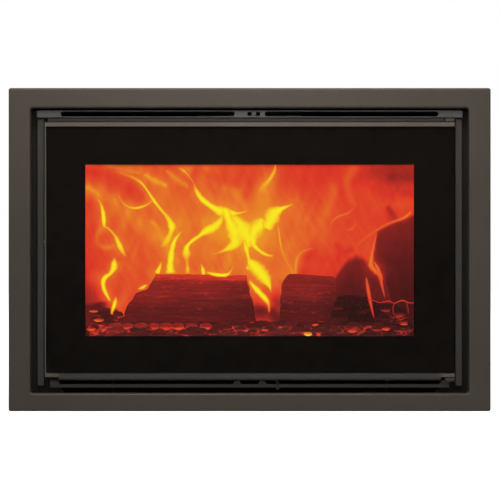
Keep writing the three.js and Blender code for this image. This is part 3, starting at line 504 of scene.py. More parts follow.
def makeScrew():  # a pan head on the origin that points along +Z, with a round socket
    radius, height = screwSettings["headRadius"], screwSettings["headHeight"]
    screw = addRod("screw", (0, 0, height / 2), radius, height, "Z", 18)
    roundEdges(screw, height * 0.35, 2)
    topFace = max(screw.data.polygons, key=lambda face: face.center.z).index
    selectParts(screw, "FACE", lambda face: face.index == topFace)
    bpy.ops.mesh.inset(thickness=radius - height * 0.35 - screwSettings["socketRadius"])
    bpy.ops.mesh.extrude_region_move(
        TRANSFORM_OT_translate={"value": (0, 0, -screwSettings["socketDepth"])})
    bpy.ops.object.mode_set(mode="OBJECT")
    return screw


def evenly(low, high, pitch):  # places from low to high, about a pitch apart
    count = max(1, round((high - low) / pitch))
    return [low + (high - low) * k / count for k in range(count + 1)]


def copyScrews(model, name, spots, body):  # each spot is a place and the way its screw points
    copies = []
    for place, direction in spots:
        screw = bpy.data.objects.new("screw", model.data.copy())
        bpy.context.scene.collection.objects.link(screw)
        turn = Vector(direction).to_track_quat("Z", "Y").to_matrix().to_4x4()
        screw.data.transform(Matrix.Translation(place) @ turn)
        copies.append(screw)
    screws = joinAll(name, copies)
    smooth(screws, 40)
    finish(screws, finishes["zinc"], body, "zinc_steel")


def casingSpots():
    edge = screwSettings["edgeDistance"]
    spots = []
    for node, sign in (("casing_left", -1), ("casing_right", 1)):
        low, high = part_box(node)
        x = low.x if sign < 0 else high.x
        for y in (low.y + edge, high.y - edge):
            for z in evenly(low.z + 3 * edge, high.z - 3 * edge, screwSettings["sidePitch"]):
                spots.append(((x, y, z), (sign, 0, 0)))
    low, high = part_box("casing_top")
    for y in (low.y + edge, high.y - edge):
        for x in evenly(low.x + 2 * edge, high.x - 2 * edge, screwSettings["topPitch"]):
            spots.append(((x, y, high.z), (0, 0, 1)))
    for x in (low.x + edge, high.x - edge):
        for y in evenly(low.y + 6 * edge, high.y - 6 * edge, screwSettings["topPitch"]):
            spots.append(((x, y, high.z), (0, 0, 1)))
    return spots


def buildScrews():
    model = makeScrew()
    copyScrews(model, "casingScrews", casingSpots(), "casing")
    bpy.data.objects.remove(model, do_unlink=True)


buildScrews()
print("stage: screws ready")


# Glass and its printed border

glassSettings = {
    "edgeRound": 0.0006,
    "borderThickness": 0.0003,
    "borderDepth": 0.0001,  # how far the print lies inside the pane's back
    "clearHalfWidth": 0.2808,
    "clearLow": 0.1272,
    "clearHigh": 0.4202,
    "borderInset": 0.0012,
}


def clearGlass():
    material, tree, shader = newMaterial(
        "ceramic glass", **{"Roughness": 0.0, "IOR": 1.45, "Metallic": 0.0, "Transmission Weight": 1.0})
    haze = addNoise(tree, objectPlace(tree), 6.0, detail=3.0)
    rampInto(tree, haze, shader.inputs["Base Color"], (0.3, (0.985, 0.975, 0.96)), (0.7, (1.0, 0.995, 0.985)))
    return material


def printedEnamel():
    material, tree, shader = newMaterial("printed enamel", Metallic=0.0)
    clouds = addNoise(tree, objectPlace(tree), 30.0, detail=6.0)
    rampInto(tree, clouds, shader.inputs["Base Color"],
             (0.35, linear(46, 40, 35)), (0.65, linear(53, 46, 40)))
    rampInto(tree, clouds, shader.inputs["Roughness"], (0.3, grey(0.75)), (0.7, grey(0.85)))
    shader.inputs["Specular IOR Level"].default_value = 0.0
    return material


def cutAcross(piece, place, normal):
    makeActive(piece)
    bpy.ops.object.mode_set(mode="EDIT")
    bpy.ops.mesh.select_all(action="SELECT")
    bpy.ops.mesh.bisect(plane_co=place, plane_no=normal)
    bpy.ops.object.mode_set(mode="OBJECT")


def openWindow(piece, half, low, high):  # a rectangular window through a slab along Y
    for x in (-half, half):
        cutAcross(piece, (x, 0, 0), (1, 0, 0))
    for z in (low, high):
        cutAcross(piece, (0, 0, z), (0, 0, 1))
    selectParts(piece, "FACE", lambda face: abs(face.normal.y) > 0.9 and abs(face.center.x) < half
                and low < face.center.z < high)
    bpy.ops.mesh.bridge_edge_loops()
    bpy.ops.object.mode_set(mode="OBJECT")


def buildGlass():
    low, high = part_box("door_glass")
    pane = addBlock("glassPane", low, high)
    roundEdges(pane, glassSettings["edgeRound"], 2)  # left flat, since smoothed faces would bend the view
    finish(pane, clearGlass(), "door", "door_glass", "door_glass")

    inset = glassSettings["borderInset"]
    back = high.y - glassSettings["borderDepth"]
    border = addBlock(
        "glassBorder", (low.x + inset, back - glassSettings["borderThickness"], low.z + inset),
        (high.x - inset, back, high.z - inset),
    )
    openWindow(border, glassSettings["clearHalfWidth"], glassSettings["clearLow"], glassSettings["clearHigh"])
    cleanNormals(border)
    finish(border, printedEnamel(), "door", "black_paint")


buildGlass()
print("stage: glass ready")


# Braided rope seal

ropeSettings = {
    "segments": 240,  # of the ring, each then cut in three
    "cuts": 2,
    "around": 20,
    "section": 0.0126,
    "braidPitch": 0.011,
    "braidDepth": 0.0011,
    "cornerRadius": 0.010,
    "cornerSteps": 6,
}


def ringPath(halfWidth, low, high, count):  # evenly spaced spots round a rounded rectangle, in X and Z
    corner, steps = ropeSettings["cornerRadius"], ropeSettings["cornerSteps"]
    middle, halfHeight = (low + high) / 2, (high - low) / 2
    outline = []
    for index, (signX, signZ) in enumerate([(1, -1), (1, 1), (-1, 1), (-1, -1)]):
        centre = Vector((signX * (halfWidth - corner), middle + signZ * (halfHeight - corner)))
        for k in range(steps + 1):
            angle = (index - 1) * math.pi / 2 + (math.pi / 2) * k / steps
            outline.append(centre + corner * Vector((math.cos(angle), math.sin(angle))))
    outline = np.array([*outline, outline[0]])
    walked = np.concatenate([[0], np.cumsum(np.hypot(*np.diff(outline, axis=0).T))])
    places = np.linspace(0, walked[-1], count, endpoint=False)
    spots = zip(np.interp(places, walked, outline[:, 0]), np.interp(places, walked, outline[:, 1]))
    return [Vector(spot) for spot in spots], walked[-1]


def ropeFinish():
    material, tree, shader = newMaterial("glass fibre rope", Metallic=0.0)
    fibres = addNoise(tree, objectPlace(tree), 700.0, detail=3.0)
    # painted shade: darker in the valleys between the strands, lighter on the raised strands
    shade = plus(tree, times(tree, fibres, 0.4), times(tree, attributeValue(tree, "weave"), 0.6))
    rampInto(tree, shade, shader.inputs["Base Color"], (0.2, linear(22, 21, 20)), (0.8, linear(78, 75, 71)))
    rampInto(tree, fibres, shader.inputs["Roughness"], (0.2, grey(0.85)), (0.8, grey(1.0)))
    addBump(tree, shader, fibres, 0.4, 0.0006)
    return material


def addRing():  # a plain ring whose segments are cut across
    deselectAll()
    bpy.ops.mesh.primitive_torus_add(
        major_segments=ropeSettings["segments"], minor_segments=ropeSettings["around"],
        major_radius=1.0, minor_radius=0.1,
    )
    rope = bpy.context.object
    rope.name = "ropeBraid"
    vertices = rope.data.vertices
    bearing = [math.atan2(vertex.co.y, vertex.co.x) for vertex in vertices]
    selectParts(rope, "EDGE", lambda edge: abs(math.sin(
        bearing[edge.vertices[0]] - bearing[edge.vertices[1]])) > 1e-3)
    bpy.ops.mesh.subdivide(number_cuts=ropeSettings["cuts"])
    bpy.ops.object.mode_set(mode="OBJECT")
    return rope


def buildRope(material):  # lays the ring along the door's channel and lifts its strands
    low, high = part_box("rope_seal")
    section, depth = ropeSettings["section"], ropeSettings["braidDepth"]
    count = ropeSettings["segments"] * (ropeSettings["cuts"] + 1)
    halfWidth = (high.x - low.x - section) / 2
    path, length = ringPath(halfWidth, low.z + section / 2, high.z - section / 2, count)
    turns = round(length / ropeSettings["braidPitch"])
    middleY, halfDepth = (low.y + high.y) / 2, (high.y - low.y) / 2
    rope = addRing()
    weave = []
    for vertex in rope.data.vertices:
        index = round(math.atan2(vertex.co.y, vertex.co.x) / (2 * math.pi) * count) % count
        along = (path[(index + 1) % count] - path[index - 1]).normalized()
        outward = Vector((along.y, -along.x))
        phase = 2 * math.pi * turns * index / count
        angle = math.atan2(vertex.co.z, math.hypot(vertex.co.x, vertex.co.y) - 1.0)
        strand = math.sin(2 * angle + phase) * math.sin(2 * angle - phase)
        lift = depth * (0.5 + 0.5 * strand) - depth
        spot = path[index] + outward * (section / 2 + lift) * math.cos(angle)
        vertex.co = (spot.x, middleY + (halfDepth + lift) * math.sin(angle), spot.y)
        # the strand's height, which the rope's finish turns into painted shade
        weave.append(0.5 + 0.5 * strand)
    addAttributes(rope, weave=weave)
    cleanNormals(rope)
    smooth(rope, 60)
    finish(rope, material, "door", "glass_rope", "rope_seal")


flueSealSettings = {
    "flangeWidth": 0.015,  # how far the collar's flange stands out past its tube
    "gap": 0.005,  # between the tube and the edge of the casing's hole
    "play": 0.0003,
    "height": 0.0034,
    "sunk": 0.001,
    "strands": 40,
    "twist": 900,
    "segments": 192,
    "around": 12,
}


def buildFlueSeal(material):  # a rope pressed into the gap round the flue collar
    low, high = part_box("flue_collar")
    tube = (high.x - low.x) / 2 - flueSealSettings["flangeWidth"]
    gap = flueSealSettings["gap"]
    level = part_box("casing_top")[1].z - flueSealSettings["sunk"]
    deselectAll()
    bpy.ops.mesh.primitive_torus_add(
        major_segments=flueSealSettings["segments"], minor_segments=flueSealSettings["around"],
        major_radius=tube + gap / 2, minor_radius=gap / 2 - flueSealSettings["play"],
        location=((low.x + high.x) / 2, (low.y + high.y) / 2, level),
    )
    seal = bpy.context.object
    seal.name = "flueSeal"
    seal.scale.z = flueSealSettings["height"] / gap * 2
    strands, twist = flueSealSettings["strands"], flueSealSettings["twist"]
    # stripes along the twisted strands, which the rope's finish turns into painted shade
    weave = [0.5 + 0.5 * math.sin(strands * math.atan2(vertex.co.y, vertex.co.x) + twist * vertex.co.z)
             for vertex in seal.data.vertices]
    addAttributes(seal, weave=weave)
    settle(seal)
    smooth(seal, 60)
    finish(seal, material, "casing", "glass_rope")


ropeMaterial = ropeFinish()
buildRope(ropeMaterial)
buildFlueSeal(ropeMaterial)
print("stage: rope seals ready")


# The camera, whose picture places the embers and flames

cameraSettings = {
    "distance": 2.6,  # from the front of the surround frame
    "height": 0.2744,
    "widthAtFrame": 0.8497,
    "pictureSize": 500,
    "pictureMiddle": 249.65,
    "middleHeight": 0.275,  # the height that the picture's middle shows
    "sideways": 0.0006,
    "sensorWidth": 36,
}
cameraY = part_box("surround_frame")[0].y - cameraSettings["distance"]


def pixelSize(depth):
    share = (depth - cameraY) / cameraSettings["distance"]
    return cameraSettings["widthAtFrame"] / cameraSettings["pictureSize"] * share


def seen(x, y, depth):  # the place at that depth which the camera sees at a spot of its picture
    middle, size = cameraSettings["pictureMiddle"], pixelSize(depth)
    return Vector(((x - middle) * size, depth, cameraSettings["middleHeight"] + (middle - y) * size))


# Logs, embers and coals

def between(low, high, value):  # 0 below low, 1 above high, smooth in between
    share = min(1.0, max(0.0, (value - low) / (high - low)))
    return share * share * (3 - 2 * share)


def crackAt(place, seed=0.0):  # 1 in the middle of a crack between char blocks, 0 on a block
    distances = noise.voronoi(place + Vector((seed, seed * 0.7, seed * 1.3)))[0]
    return 1.0 - between(0.02, 0.22, distances[1] - distances[0])


# Insets pull a log's ends in: shares of its height from the bottom up, each with a length
# A block is a piece of char between cracks. The taper is the share that the right end is lower.
# The last two numbers of each log are painted firelight: emission that stands for the fire's light falling on
# its top and on its face
logSettings = {
    "logLeft": {"node": "log_left", "around": 160, "cuts": 150, "seed": 3.1, "blockLength": 0.021,
                "blockHeight": 0.0065, "crackDepth": 0.0010, "ridgeDepth": 0.0011, "taper": 0.03,
                "leftInsets": [(0.0, 0.0), (0.4, 0.016), (0.62, 0.029), (0.70, 0.050), (1.0, 0.060)],
                "rightInsets": [(0.0, 0.0), (1.0, 0.020)], "topFirelight": 0.38, "faceFirelight": 0.250},
    "logRight": {"node": "log_right", "around": 130, "cuts": 74, "seed": 8.4, "blockLength": 0.017,
                 "blockHeight": 0.007, "crackDepth": 0.0011, "ridgeDepth": 0.0009, "taper": 0.04,
                 "leftInsets": [(0.0, 0.0), (0.8, 0.003), (1.0, 0.014)],
                 "rightInsets": [(0.0, 0.006), (0.6, 0.002), (0.9, 0.0), (1.0, 0.004)],
                 "topFirelight": 0.24, "faceFirelight": 0.225},
    "logCharred": {"node": "log_charred", "around": 110, "cuts": 84, "seed": 14.7, "blockLength": 0.014,
                   "blockHeight": 0.012, "crackDepth": 0.0036, "ridgeDepth": 0.0040, "taper": 0.42,
                   "leftInsets": [(0.0, 0.0), (1.0, 0.002)], "rightInsets": [(0.0, 0.0), (1.0, 0.006)],
                   "topFirelight": 0.03, "faceFirelight": 0.01},
}
# What all logs share: how far they are from round, how their ends run, and where painted firelight and
# painted shade fall on them
charSettings = {
    "endRings": 9,
    "facets": 3,
    "facetDepth": 0.025,
    "swell": 0.025,
    "burnDepth": 0.005,
    "lean": 0.003,
    "litTop": 0.62,  # the share of the height above which the painted firelight on the top comes in
    # painted shade: the foot of each log and the low part of its right end are made darker
    "darkFoot": 0.10,
    "shadedEnd": 0.05,
}


def charredWood():
    material, tree, shader = newMaterial(
        "charred wood", Metallic=0.0, **{"Emission Strength": 1.0, "Specular IOR Level": 0.2})
    # the logs' per-vertex emission carries painted firelight and painted shade; the sparks in the cracks are
    # the char's own glow
    crack, glow = attributeValue(tree, "crack"), attributeValue(tree, "glow")
    grain = addNoise(tree, objectPlace(tree, (14, 250, 250)), 1.0, detail=4.0, roughness=0.6, distortion=0.4)
    embersIn = addNoise(tree, objectPlace(tree, (45, 160, 160)), 1.0, detail=3.0)
    rampInto(tree, grain, shader.inputs["Base Color"], (0.3, linear(15, 8, 7)), (0.75, linear(36, 17, 14)))
    rampInto(tree, grain, shader.inputs["Roughness"], (0.2, grey(0.7)), (0.8, grey(0.98)))
    lines = times(tree, mathNode(tree, "SUBTRACT", grain, 0.5), 0.75)
    warmth = plus(tree, glow, times(tree, lines, plus(tree, glow, 0.10)))
    sparks = times(tree, crack, addRamp(tree, embersIn, [(0.52, grey(0.0)), (0.72, grey(0.13))]))
    emitHeat(tree, shader, plus(tree, warmth, sparks, clamp=True))
    height = mathNode(tree, "SUBTRACT", grain, times(tree, crack, 0.6))
    addBump(tree, shader, height, 0.6, 0.0015)
    return material


charMaterial = charredWood()


def cutLog(log, half, radius, cuts):  # cuts a rod across for its cracks, and rings its sawn ends
    vertices = log.data.vertices
    selectParts(log, "EDGE", lambda edge: abs(
        vertices[edge.vertices[0]].co.x - vertices[edge.vertices[1]].co.x) > half)
    bpy.ops.mesh.subdivide(number_cuts=cuts)
    selectParts(log, "FACE", lambda face: abs(face.normal.x) > 0.9)
    rings = charSettings["endRings"]
    for _ in range(rings):
        bpy.ops.mesh.inset(thickness=radius / (rings + 1.5))
    bpy.ops.object.mode_set(mode="OBJECT")


def logReach(settings, spot, angle, radius, crack):  # how far the bark lies from the log's middle
    seed, reach = settings["seed"], math.hypot(spot.y, spot.z)
    across, up = math.cos(angle), math.sin(angle)
    broad = noise.noise(Vector((spot.x * 9 + seed, across * 1.3, up * 1.3 + seed)))
    ridge = noise.noise(Vector((spot.x * 30, across * 7 + seed, up * 7)))
    facet = charSettings["facetDepth"] * math.cos(charSettings["facets"] * angle + seed)
    shape = min(1.0, 1.0 - charSettings["facetDepth"] + facet + charSettings["swell"] * broad)
    bark = settings["crackDepth"] * crack - settings["ridgeDepth"] * ridge
    return reach * shape - bark * between(0.9, 1, reach / radius)


def logEnd(settings, spot, along, height, half):  # the place along the log, with its ends pulled in and burnt
    insets = np.array(settings["leftInsets" if along < 0 else "rightInsets"])
    inset = np.interp(height, insets[:, 0], insets[:, 1]) * between(0.3, 1.0, abs(along))
    burnt = 0.0
    if abs(along) > 0.93:
        rough = noise.noise(Vector((settings["seed"], spot.y * 60, spot.z * 60)))
        burnt = charSettings["burnDepth"] * rough
    x = spot.x - math.copysign(inset, along) + burnt - charSettings["lean"] * along
    return min(half, max(-half, x))


# painted firelight, brighter over the log's top, and painted shade at its foot and low on its right end
def logFirelightAndShade(settings, along, up, share):
    face = settings["faceFirelight"]
    glow = face + (settings["topFirelight"] - face) * between(charSettings["litTop"], 1.0, up * share)
    foot = charSettings["darkFoot"] * between(0.45, -0.5, up)
    end = charSettings["shadedEnd"] * between(0.2, 1.0, along) * between(1.0, 0.4, up)
    return max(0.0, glow - (foot + end))


def buildLog(name, settings):
    low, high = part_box(settings["node"])
    centre = (low + high) / 2
    radius = (high.z - low.z) / 2
    half = (high.x - low.x) / 2
    seed = settings["seed"]
    log = addRod(name, centre, radius, 2 * half, "X", settings["around"])
    cutLog(log, half, radius, settings["cuts"])
    cracks, glows = [], []
    for vertex in log.data.vertices:
        spot = vertex.co - centre
        angle = math.atan2(spot.z, spot.y)
        up, share = math.sin(angle), math.hypot(spot.y, spot.z) / radius
        along = spot.x / half
        block = Vector((spot.x / settings["blockLength"], angle * radius / settings["blockHeight"], seed))
        crack = crackAt(block, seed) if share > 0.98 else 0.0
        reach = logReach(settings, spot, angle, radius, crack)
        x = logEnd(settings, spot, along, 0.5 + 0.5 * up * share, half)
        tapered = 1.0 - settings["taper"] * between(-0.6, 1.0, along)
        z = (reach * up + radius) * tapered - radius
        vertex.co = centre + Vector((x, reach * math.cos(angle), z))
        cracks.append(crack)
        # painted firelight and painted shade at this place
        glows.append(logFirelightAndShade(settings, along, up, share))
    addAttributes(log, crack=cracks, glow=glows)
    smooth(log, 50)
    finish(log, charMaterial, "casing", "charred_wood", settings["node"])


for logName, settings in logSettings.items():
    buildLog(logName, settings)
print("stage: logs ready")


emberSettings = {
    "gridX": 190,
    "gridY": 84,
    "lump": 0.0042,
    "crackDepth": 0.002,
    "coalKinds": 6,
    "coals": 260,
    "smallest": 0.006,
    "largest": 0.013,
    "seed": 11,
    # the bed's top drops at its front, back and sides, each over a slope of its own width
    "frontDrop": 0.026,
    "frontSlope": 0.075,
    "backDrop": 0.013,
    "backSlope": 0.026,
    "sideDrop": 0.010,
    "sideSlope": 0.03,
    # heaps beside the logs: middle x and y, half widths in x and y, height, glow and number of coals
    "heaps": [
        (-0.262, -0.015, 0.028, 0.055, 0.030, 0.10, 70),
        (0.258, -0.012, 0.034, 0.050, 0.034, 0.02, 70),
    ],
    # single hot chips: their place in the camera's picture, depth, size and glow
    "chips": [
        (308, 334, -0.130, 0.0085, 0.70), (265, 330, -0.120, 0.0070, 0.40), (317, 325, -0.085, 0.0085, 0.46),
        (94, 311, -0.060, 0.0080, 0.36), (99, 320, -0.080, 0.0080, 0.38), (91, 329, -0.110, 0.0075, 0.36),
        (352, 331, -0.120, 0.0075, 0.40), (386, 329, -0.110, 0.0080, 0.38), (404, 324, -0.090, 0.0070, 0.36),
    ],
    # dead lumps piled against the charred log, written in the same way
    "lumps": [
        (346, 300, -0.020, 0.016, 0.02), (352, 300, -0.024, 0.015, 0.02), (340, 306, -0.030, 0.016, 0.02),
        (338, 316, -0.034, 0.017, 0.02), (342, 325, -0.038, 0.016, 0.02), (362, 303, -0.026, 0.013, 0.02),
        (388, 308, -0.036, 0.014, 0.02), (397, 312, -0.040, 0.015, 0.02), (386, 318, -0.042, 0.016, 0.02),
    ],
    # the places along X of the glowing blocks in a row under the big log
    "frontRow": [-0.238, -0.216, -0.193, -0.170, -0.148, -0.127, -0.103, -0.078],
}


def emberFinish():
    material, tree, shader = newMaterial(
        "embers", Metallic=0.0, **{"Emission Strength": 1.0, "Specular IOR Level": 0.2})
    crack, glow = attributeValue(tree, "crack"), attributeValue(tree, "glow")
    place = objectPlace(tree)
    ash = addNoise(tree, place, 120.0, detail=4.0)
    rampInto(tree, ash, shader.inputs["Base Color"], (0.35, linear(13, 7, 6)), (0.7, linear(36, 18, 15)))
    rampInto(tree, ash, shader.inputs["Roughness"], (0.2, grey(0.85)), (0.8, grey(1.0)))
    patches = addRamp(tree, addNoise(tree, place, 16.0, detail=3.0), [(0.40, grey(0.25)), (0.62, grey(1.0))])
    seams = times(tree, times(tree, crack, patches), 0.42)
    body = times(tree, glow, addRamp(tree, ash, [(0.3, grey(0.75)), (0.7, grey(1.15))]))
    emitHeat(tree, shader, plus(tree, body, seams, clamp=True))
    addBump(tree, shader, ash, 0.5, 0.002)
    return material


emberMaterial = emberFinish()


def emberHeight(x, y, low, high):  # the bed's top over a place: flat, with slopes on all sides
    def drop(side, distance):
        return emberSettings[side + "Drop"] * (1 - between(0.0, emberSettings[side + "Slope"], distance))

    ends = drop("front", y - low.y) + drop("back", high.y - y)
    return high.z - ends - drop("side", min(x - low.x, high.x - x))


def emberGlow(x):  # the left side of the bed glows, the right side has gone dark
    return 0.09 + 0.10 * between(-0.20, -0.27, x) - 0.06 * between(0.12, 0.24, x)


def buildEmberBed():
    low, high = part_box("ember_bed")
    top, bottom = high.z, low.z
    deselectAll()
    bpy.ops.mesh.primitive_grid_add(
        x_subdivisions=emberSettings["gridX"], y_subdivisions=emberSettings["gridY"], size=1,
        location=((low.x + high.x) / 2, (low.y + high.y) / 2, top),
    )
    bed = bpy.context.object
    bed.name = "emberBed"
    bed.scale = (high.x - low.x, high.y - low.y, 1)
    settle(bed)
    bpy.ops.object.mode_set(mode="EDIT")
    bpy.ops.mesh.select_all(action="SELECT")
    bpy.ops.mesh.extrude_region_move(TRANSFORM_OT_translate={"value": (0, 0, bottom - top)})
    bpy.ops.object.mode_set(mode="OBJECT")
    cracks, glows = [], []
    for vertex in bed.data.vertices:
        spot = vertex.co
        onTop = spot.z > (top + bottom) / 2
        crack = crackAt(Vector((spot.x / 0.014, spot.y / 0.012, 0.3))) if onTop else 0.0
        if onTop:
            lump = emberSettings["lump"] * (0.5 + 0.5 * noise.noise(Vector((spot.x * 70, spot.y * 70, 4.0))))
            vertex.co.z = emberHeight(spot.x, spot.y, low, high) - lump - emberSettings["crackDepth"] * crack
        cracks.append(crack)
        glows.append(emberGlow(spot.x))
    addAttributes(bed, crack=cracks, glow=glows)
    cleanNormals(bed)
    smooth(bed, 60)
    finish(bed, emberMaterial, "casing", "embers", "ember_bed")


def makeCoal(kind):  # a rounded lump of charcoal of about one unit, with its hot side below
    deselectAll()
    bpy.ops.mesh.primitive_ico_sphere_add(subdivisions=2, radius=1.0, location=(0, 0, 0))
    coal = bpy.context.object
    for vertex in coal.data.vertices:
        unit = vertex.co.normalized()
        blocky = max(abs(unit.x), abs(unit.y), abs(unit.z))
        bump = noise.noise(unit * 1.7 + Vector((7.0 * kind, 0, 0)))
        vertex.co = unit * (0.72 + 0.2 / blocky ** 0.6 + 0.2 * bump)
    return coal


def placeCoal(model, spot, size, turn, stretch, glow):
    coal = bpy.data.objects.new("coal", model.data.copy())
    bpy.context.scene.collection.objects.link(coal)
    spin = Matrix.Rotation(turn, 4, "Z")
    cracks = [between(-0.1, 0.8, -vertex.co.normalized().z) for vertex in coal.data.vertices]
    coal.data.transform(Matrix.Translation(spot) @ spin @ Matrix.Diagonal((*(size * s for s in stretch), 1)))
    addAttributes(coal, crack=cracks, glow=[glow] * len(cracks))
    return coal


def scatterCoals(dice, kinds, low, high):
    coals = []
    for _ in range(emberSettings["coals"]):
        x = dice.uniform(low.x + 0.02, high.x - 0.02)
        y = low.y + 0.010 + (high.y - low.y - 0.03) * dice.random() ** 1.6
        size = dice.uniform(emberSettings["smallest"], emberSettings["largest"])
        stretch = (dice.uniform(0.9, 1.6), dice.uniform(0.8, 1.2), dice.uniform(0.5, 0.75))
        spot = (x, y, emberHeight(x, y, low, high) - size * 0.15)
        glow = emberGlow(x) + dice.choice((-0.03, 0.0, 0.0, 0.05))
        coals.append(placeCoal(dice.choice(kinds), spot, size, dice.uniform(-0.5, 0.5), stretch, glow))
    return coals


def lineUpCoals(dice, kinds, low, high):  # the glowing row under the big log
    coals = []
    for x in emberSettings["frontRow"]:
        size = dice.uniform(0.0105, 0.0118)
        y = low.y + 0.054
        spot = (x, y, emberHeight(x, y, low, high) + 0.0025)
        coals.append(placeCoal(dice.choice(kinds), spot, size, 0.0, (1.08, 0.8, 0.60), 0.28))
    return coals


def setCoals(dice, kinds, key, flatness):  # single coals at places of the camera's picture
    coals = []
    for x, y, depth, size, glow in emberSettings[key]:
        stretch = (dice.uniform(0.9, 1.4), dice.uniform(0.7, 1.0), flatness * dice.uniform(0.8, 1.2))
        turn = dice.uniform(-0.6, 0.6)
        coals.append(placeCoal(dice.choice(kinds), seen(x, y, depth), size, turn, stretch, glow))
    return coals


def heapCoals(dice, kinds, low, high):
    coals = []
    for middleX, middleY, halfX, halfY, height, glow, count in emberSettings["heaps"]:
        for _ in range(count):
            turn, reach = dice.uniform(0, 2 * math.pi), math.sqrt(dice.random())
            x, y = middleX + halfX * reach * math.cos(turn), middleY + halfY * reach * math.sin(turn)
            size = dice.uniform(emberSettings["smallest"], emberSettings["largest"])
            lift = height * (1 - reach * reach) * dice.random() ** 0.6
            stretch = (dice.uniform(0.9, 1.4), dice.uniform(0.8, 1.2), dice.uniform(0.5, 0.8))
            spot = (x, y, emberHeight(x, y, low, high) + lift)
            heat = glow + dice.choice((-0.03, 0.0, 0.04))
            coals.append(placeCoal(dice.choice(kinds), spot, size, dice.uniform(-0.5, 0.5), stretch, heat))
    return coals


def buildCoals():
    low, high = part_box("ember_bed")
    dice = random.Random(emberSettings["seed"])
    kinds = [makeCoal(kind) for kind in range(emberSettings["coalKinds"])]
    coals = scatterCoals(dice, kinds, low, high) + lineUpCoals(dice, kinds, low, high)
    coals += setCoals(dice, kinds, "chips", 0.34) + setCoals(dice, kinds, "lumps", 0.75)
    coals += heapCoals(dice, kinds, low, high)
    for kind in kinds:
        bpy.data.objects.remove(kind, do_unlink=True)
    coals = joinAll("coals", coals)
    smooth(coals, 30)
    finish(coals, emberMaterial, "casing", "embers")


buildEmberBed()
buildCoals()
print("stage: embers ready")


# Flames. They are drawn as the camera sees them, in a picture of 500 by 500, and each has a depth of its own.

def inPicture(place):
    middle, size = cameraSettings["pictureMiddle"], pixelSize(place.y)
    return middle + place.x / size, middle - (place.z - cameraSettings["middleHeight"]) / size


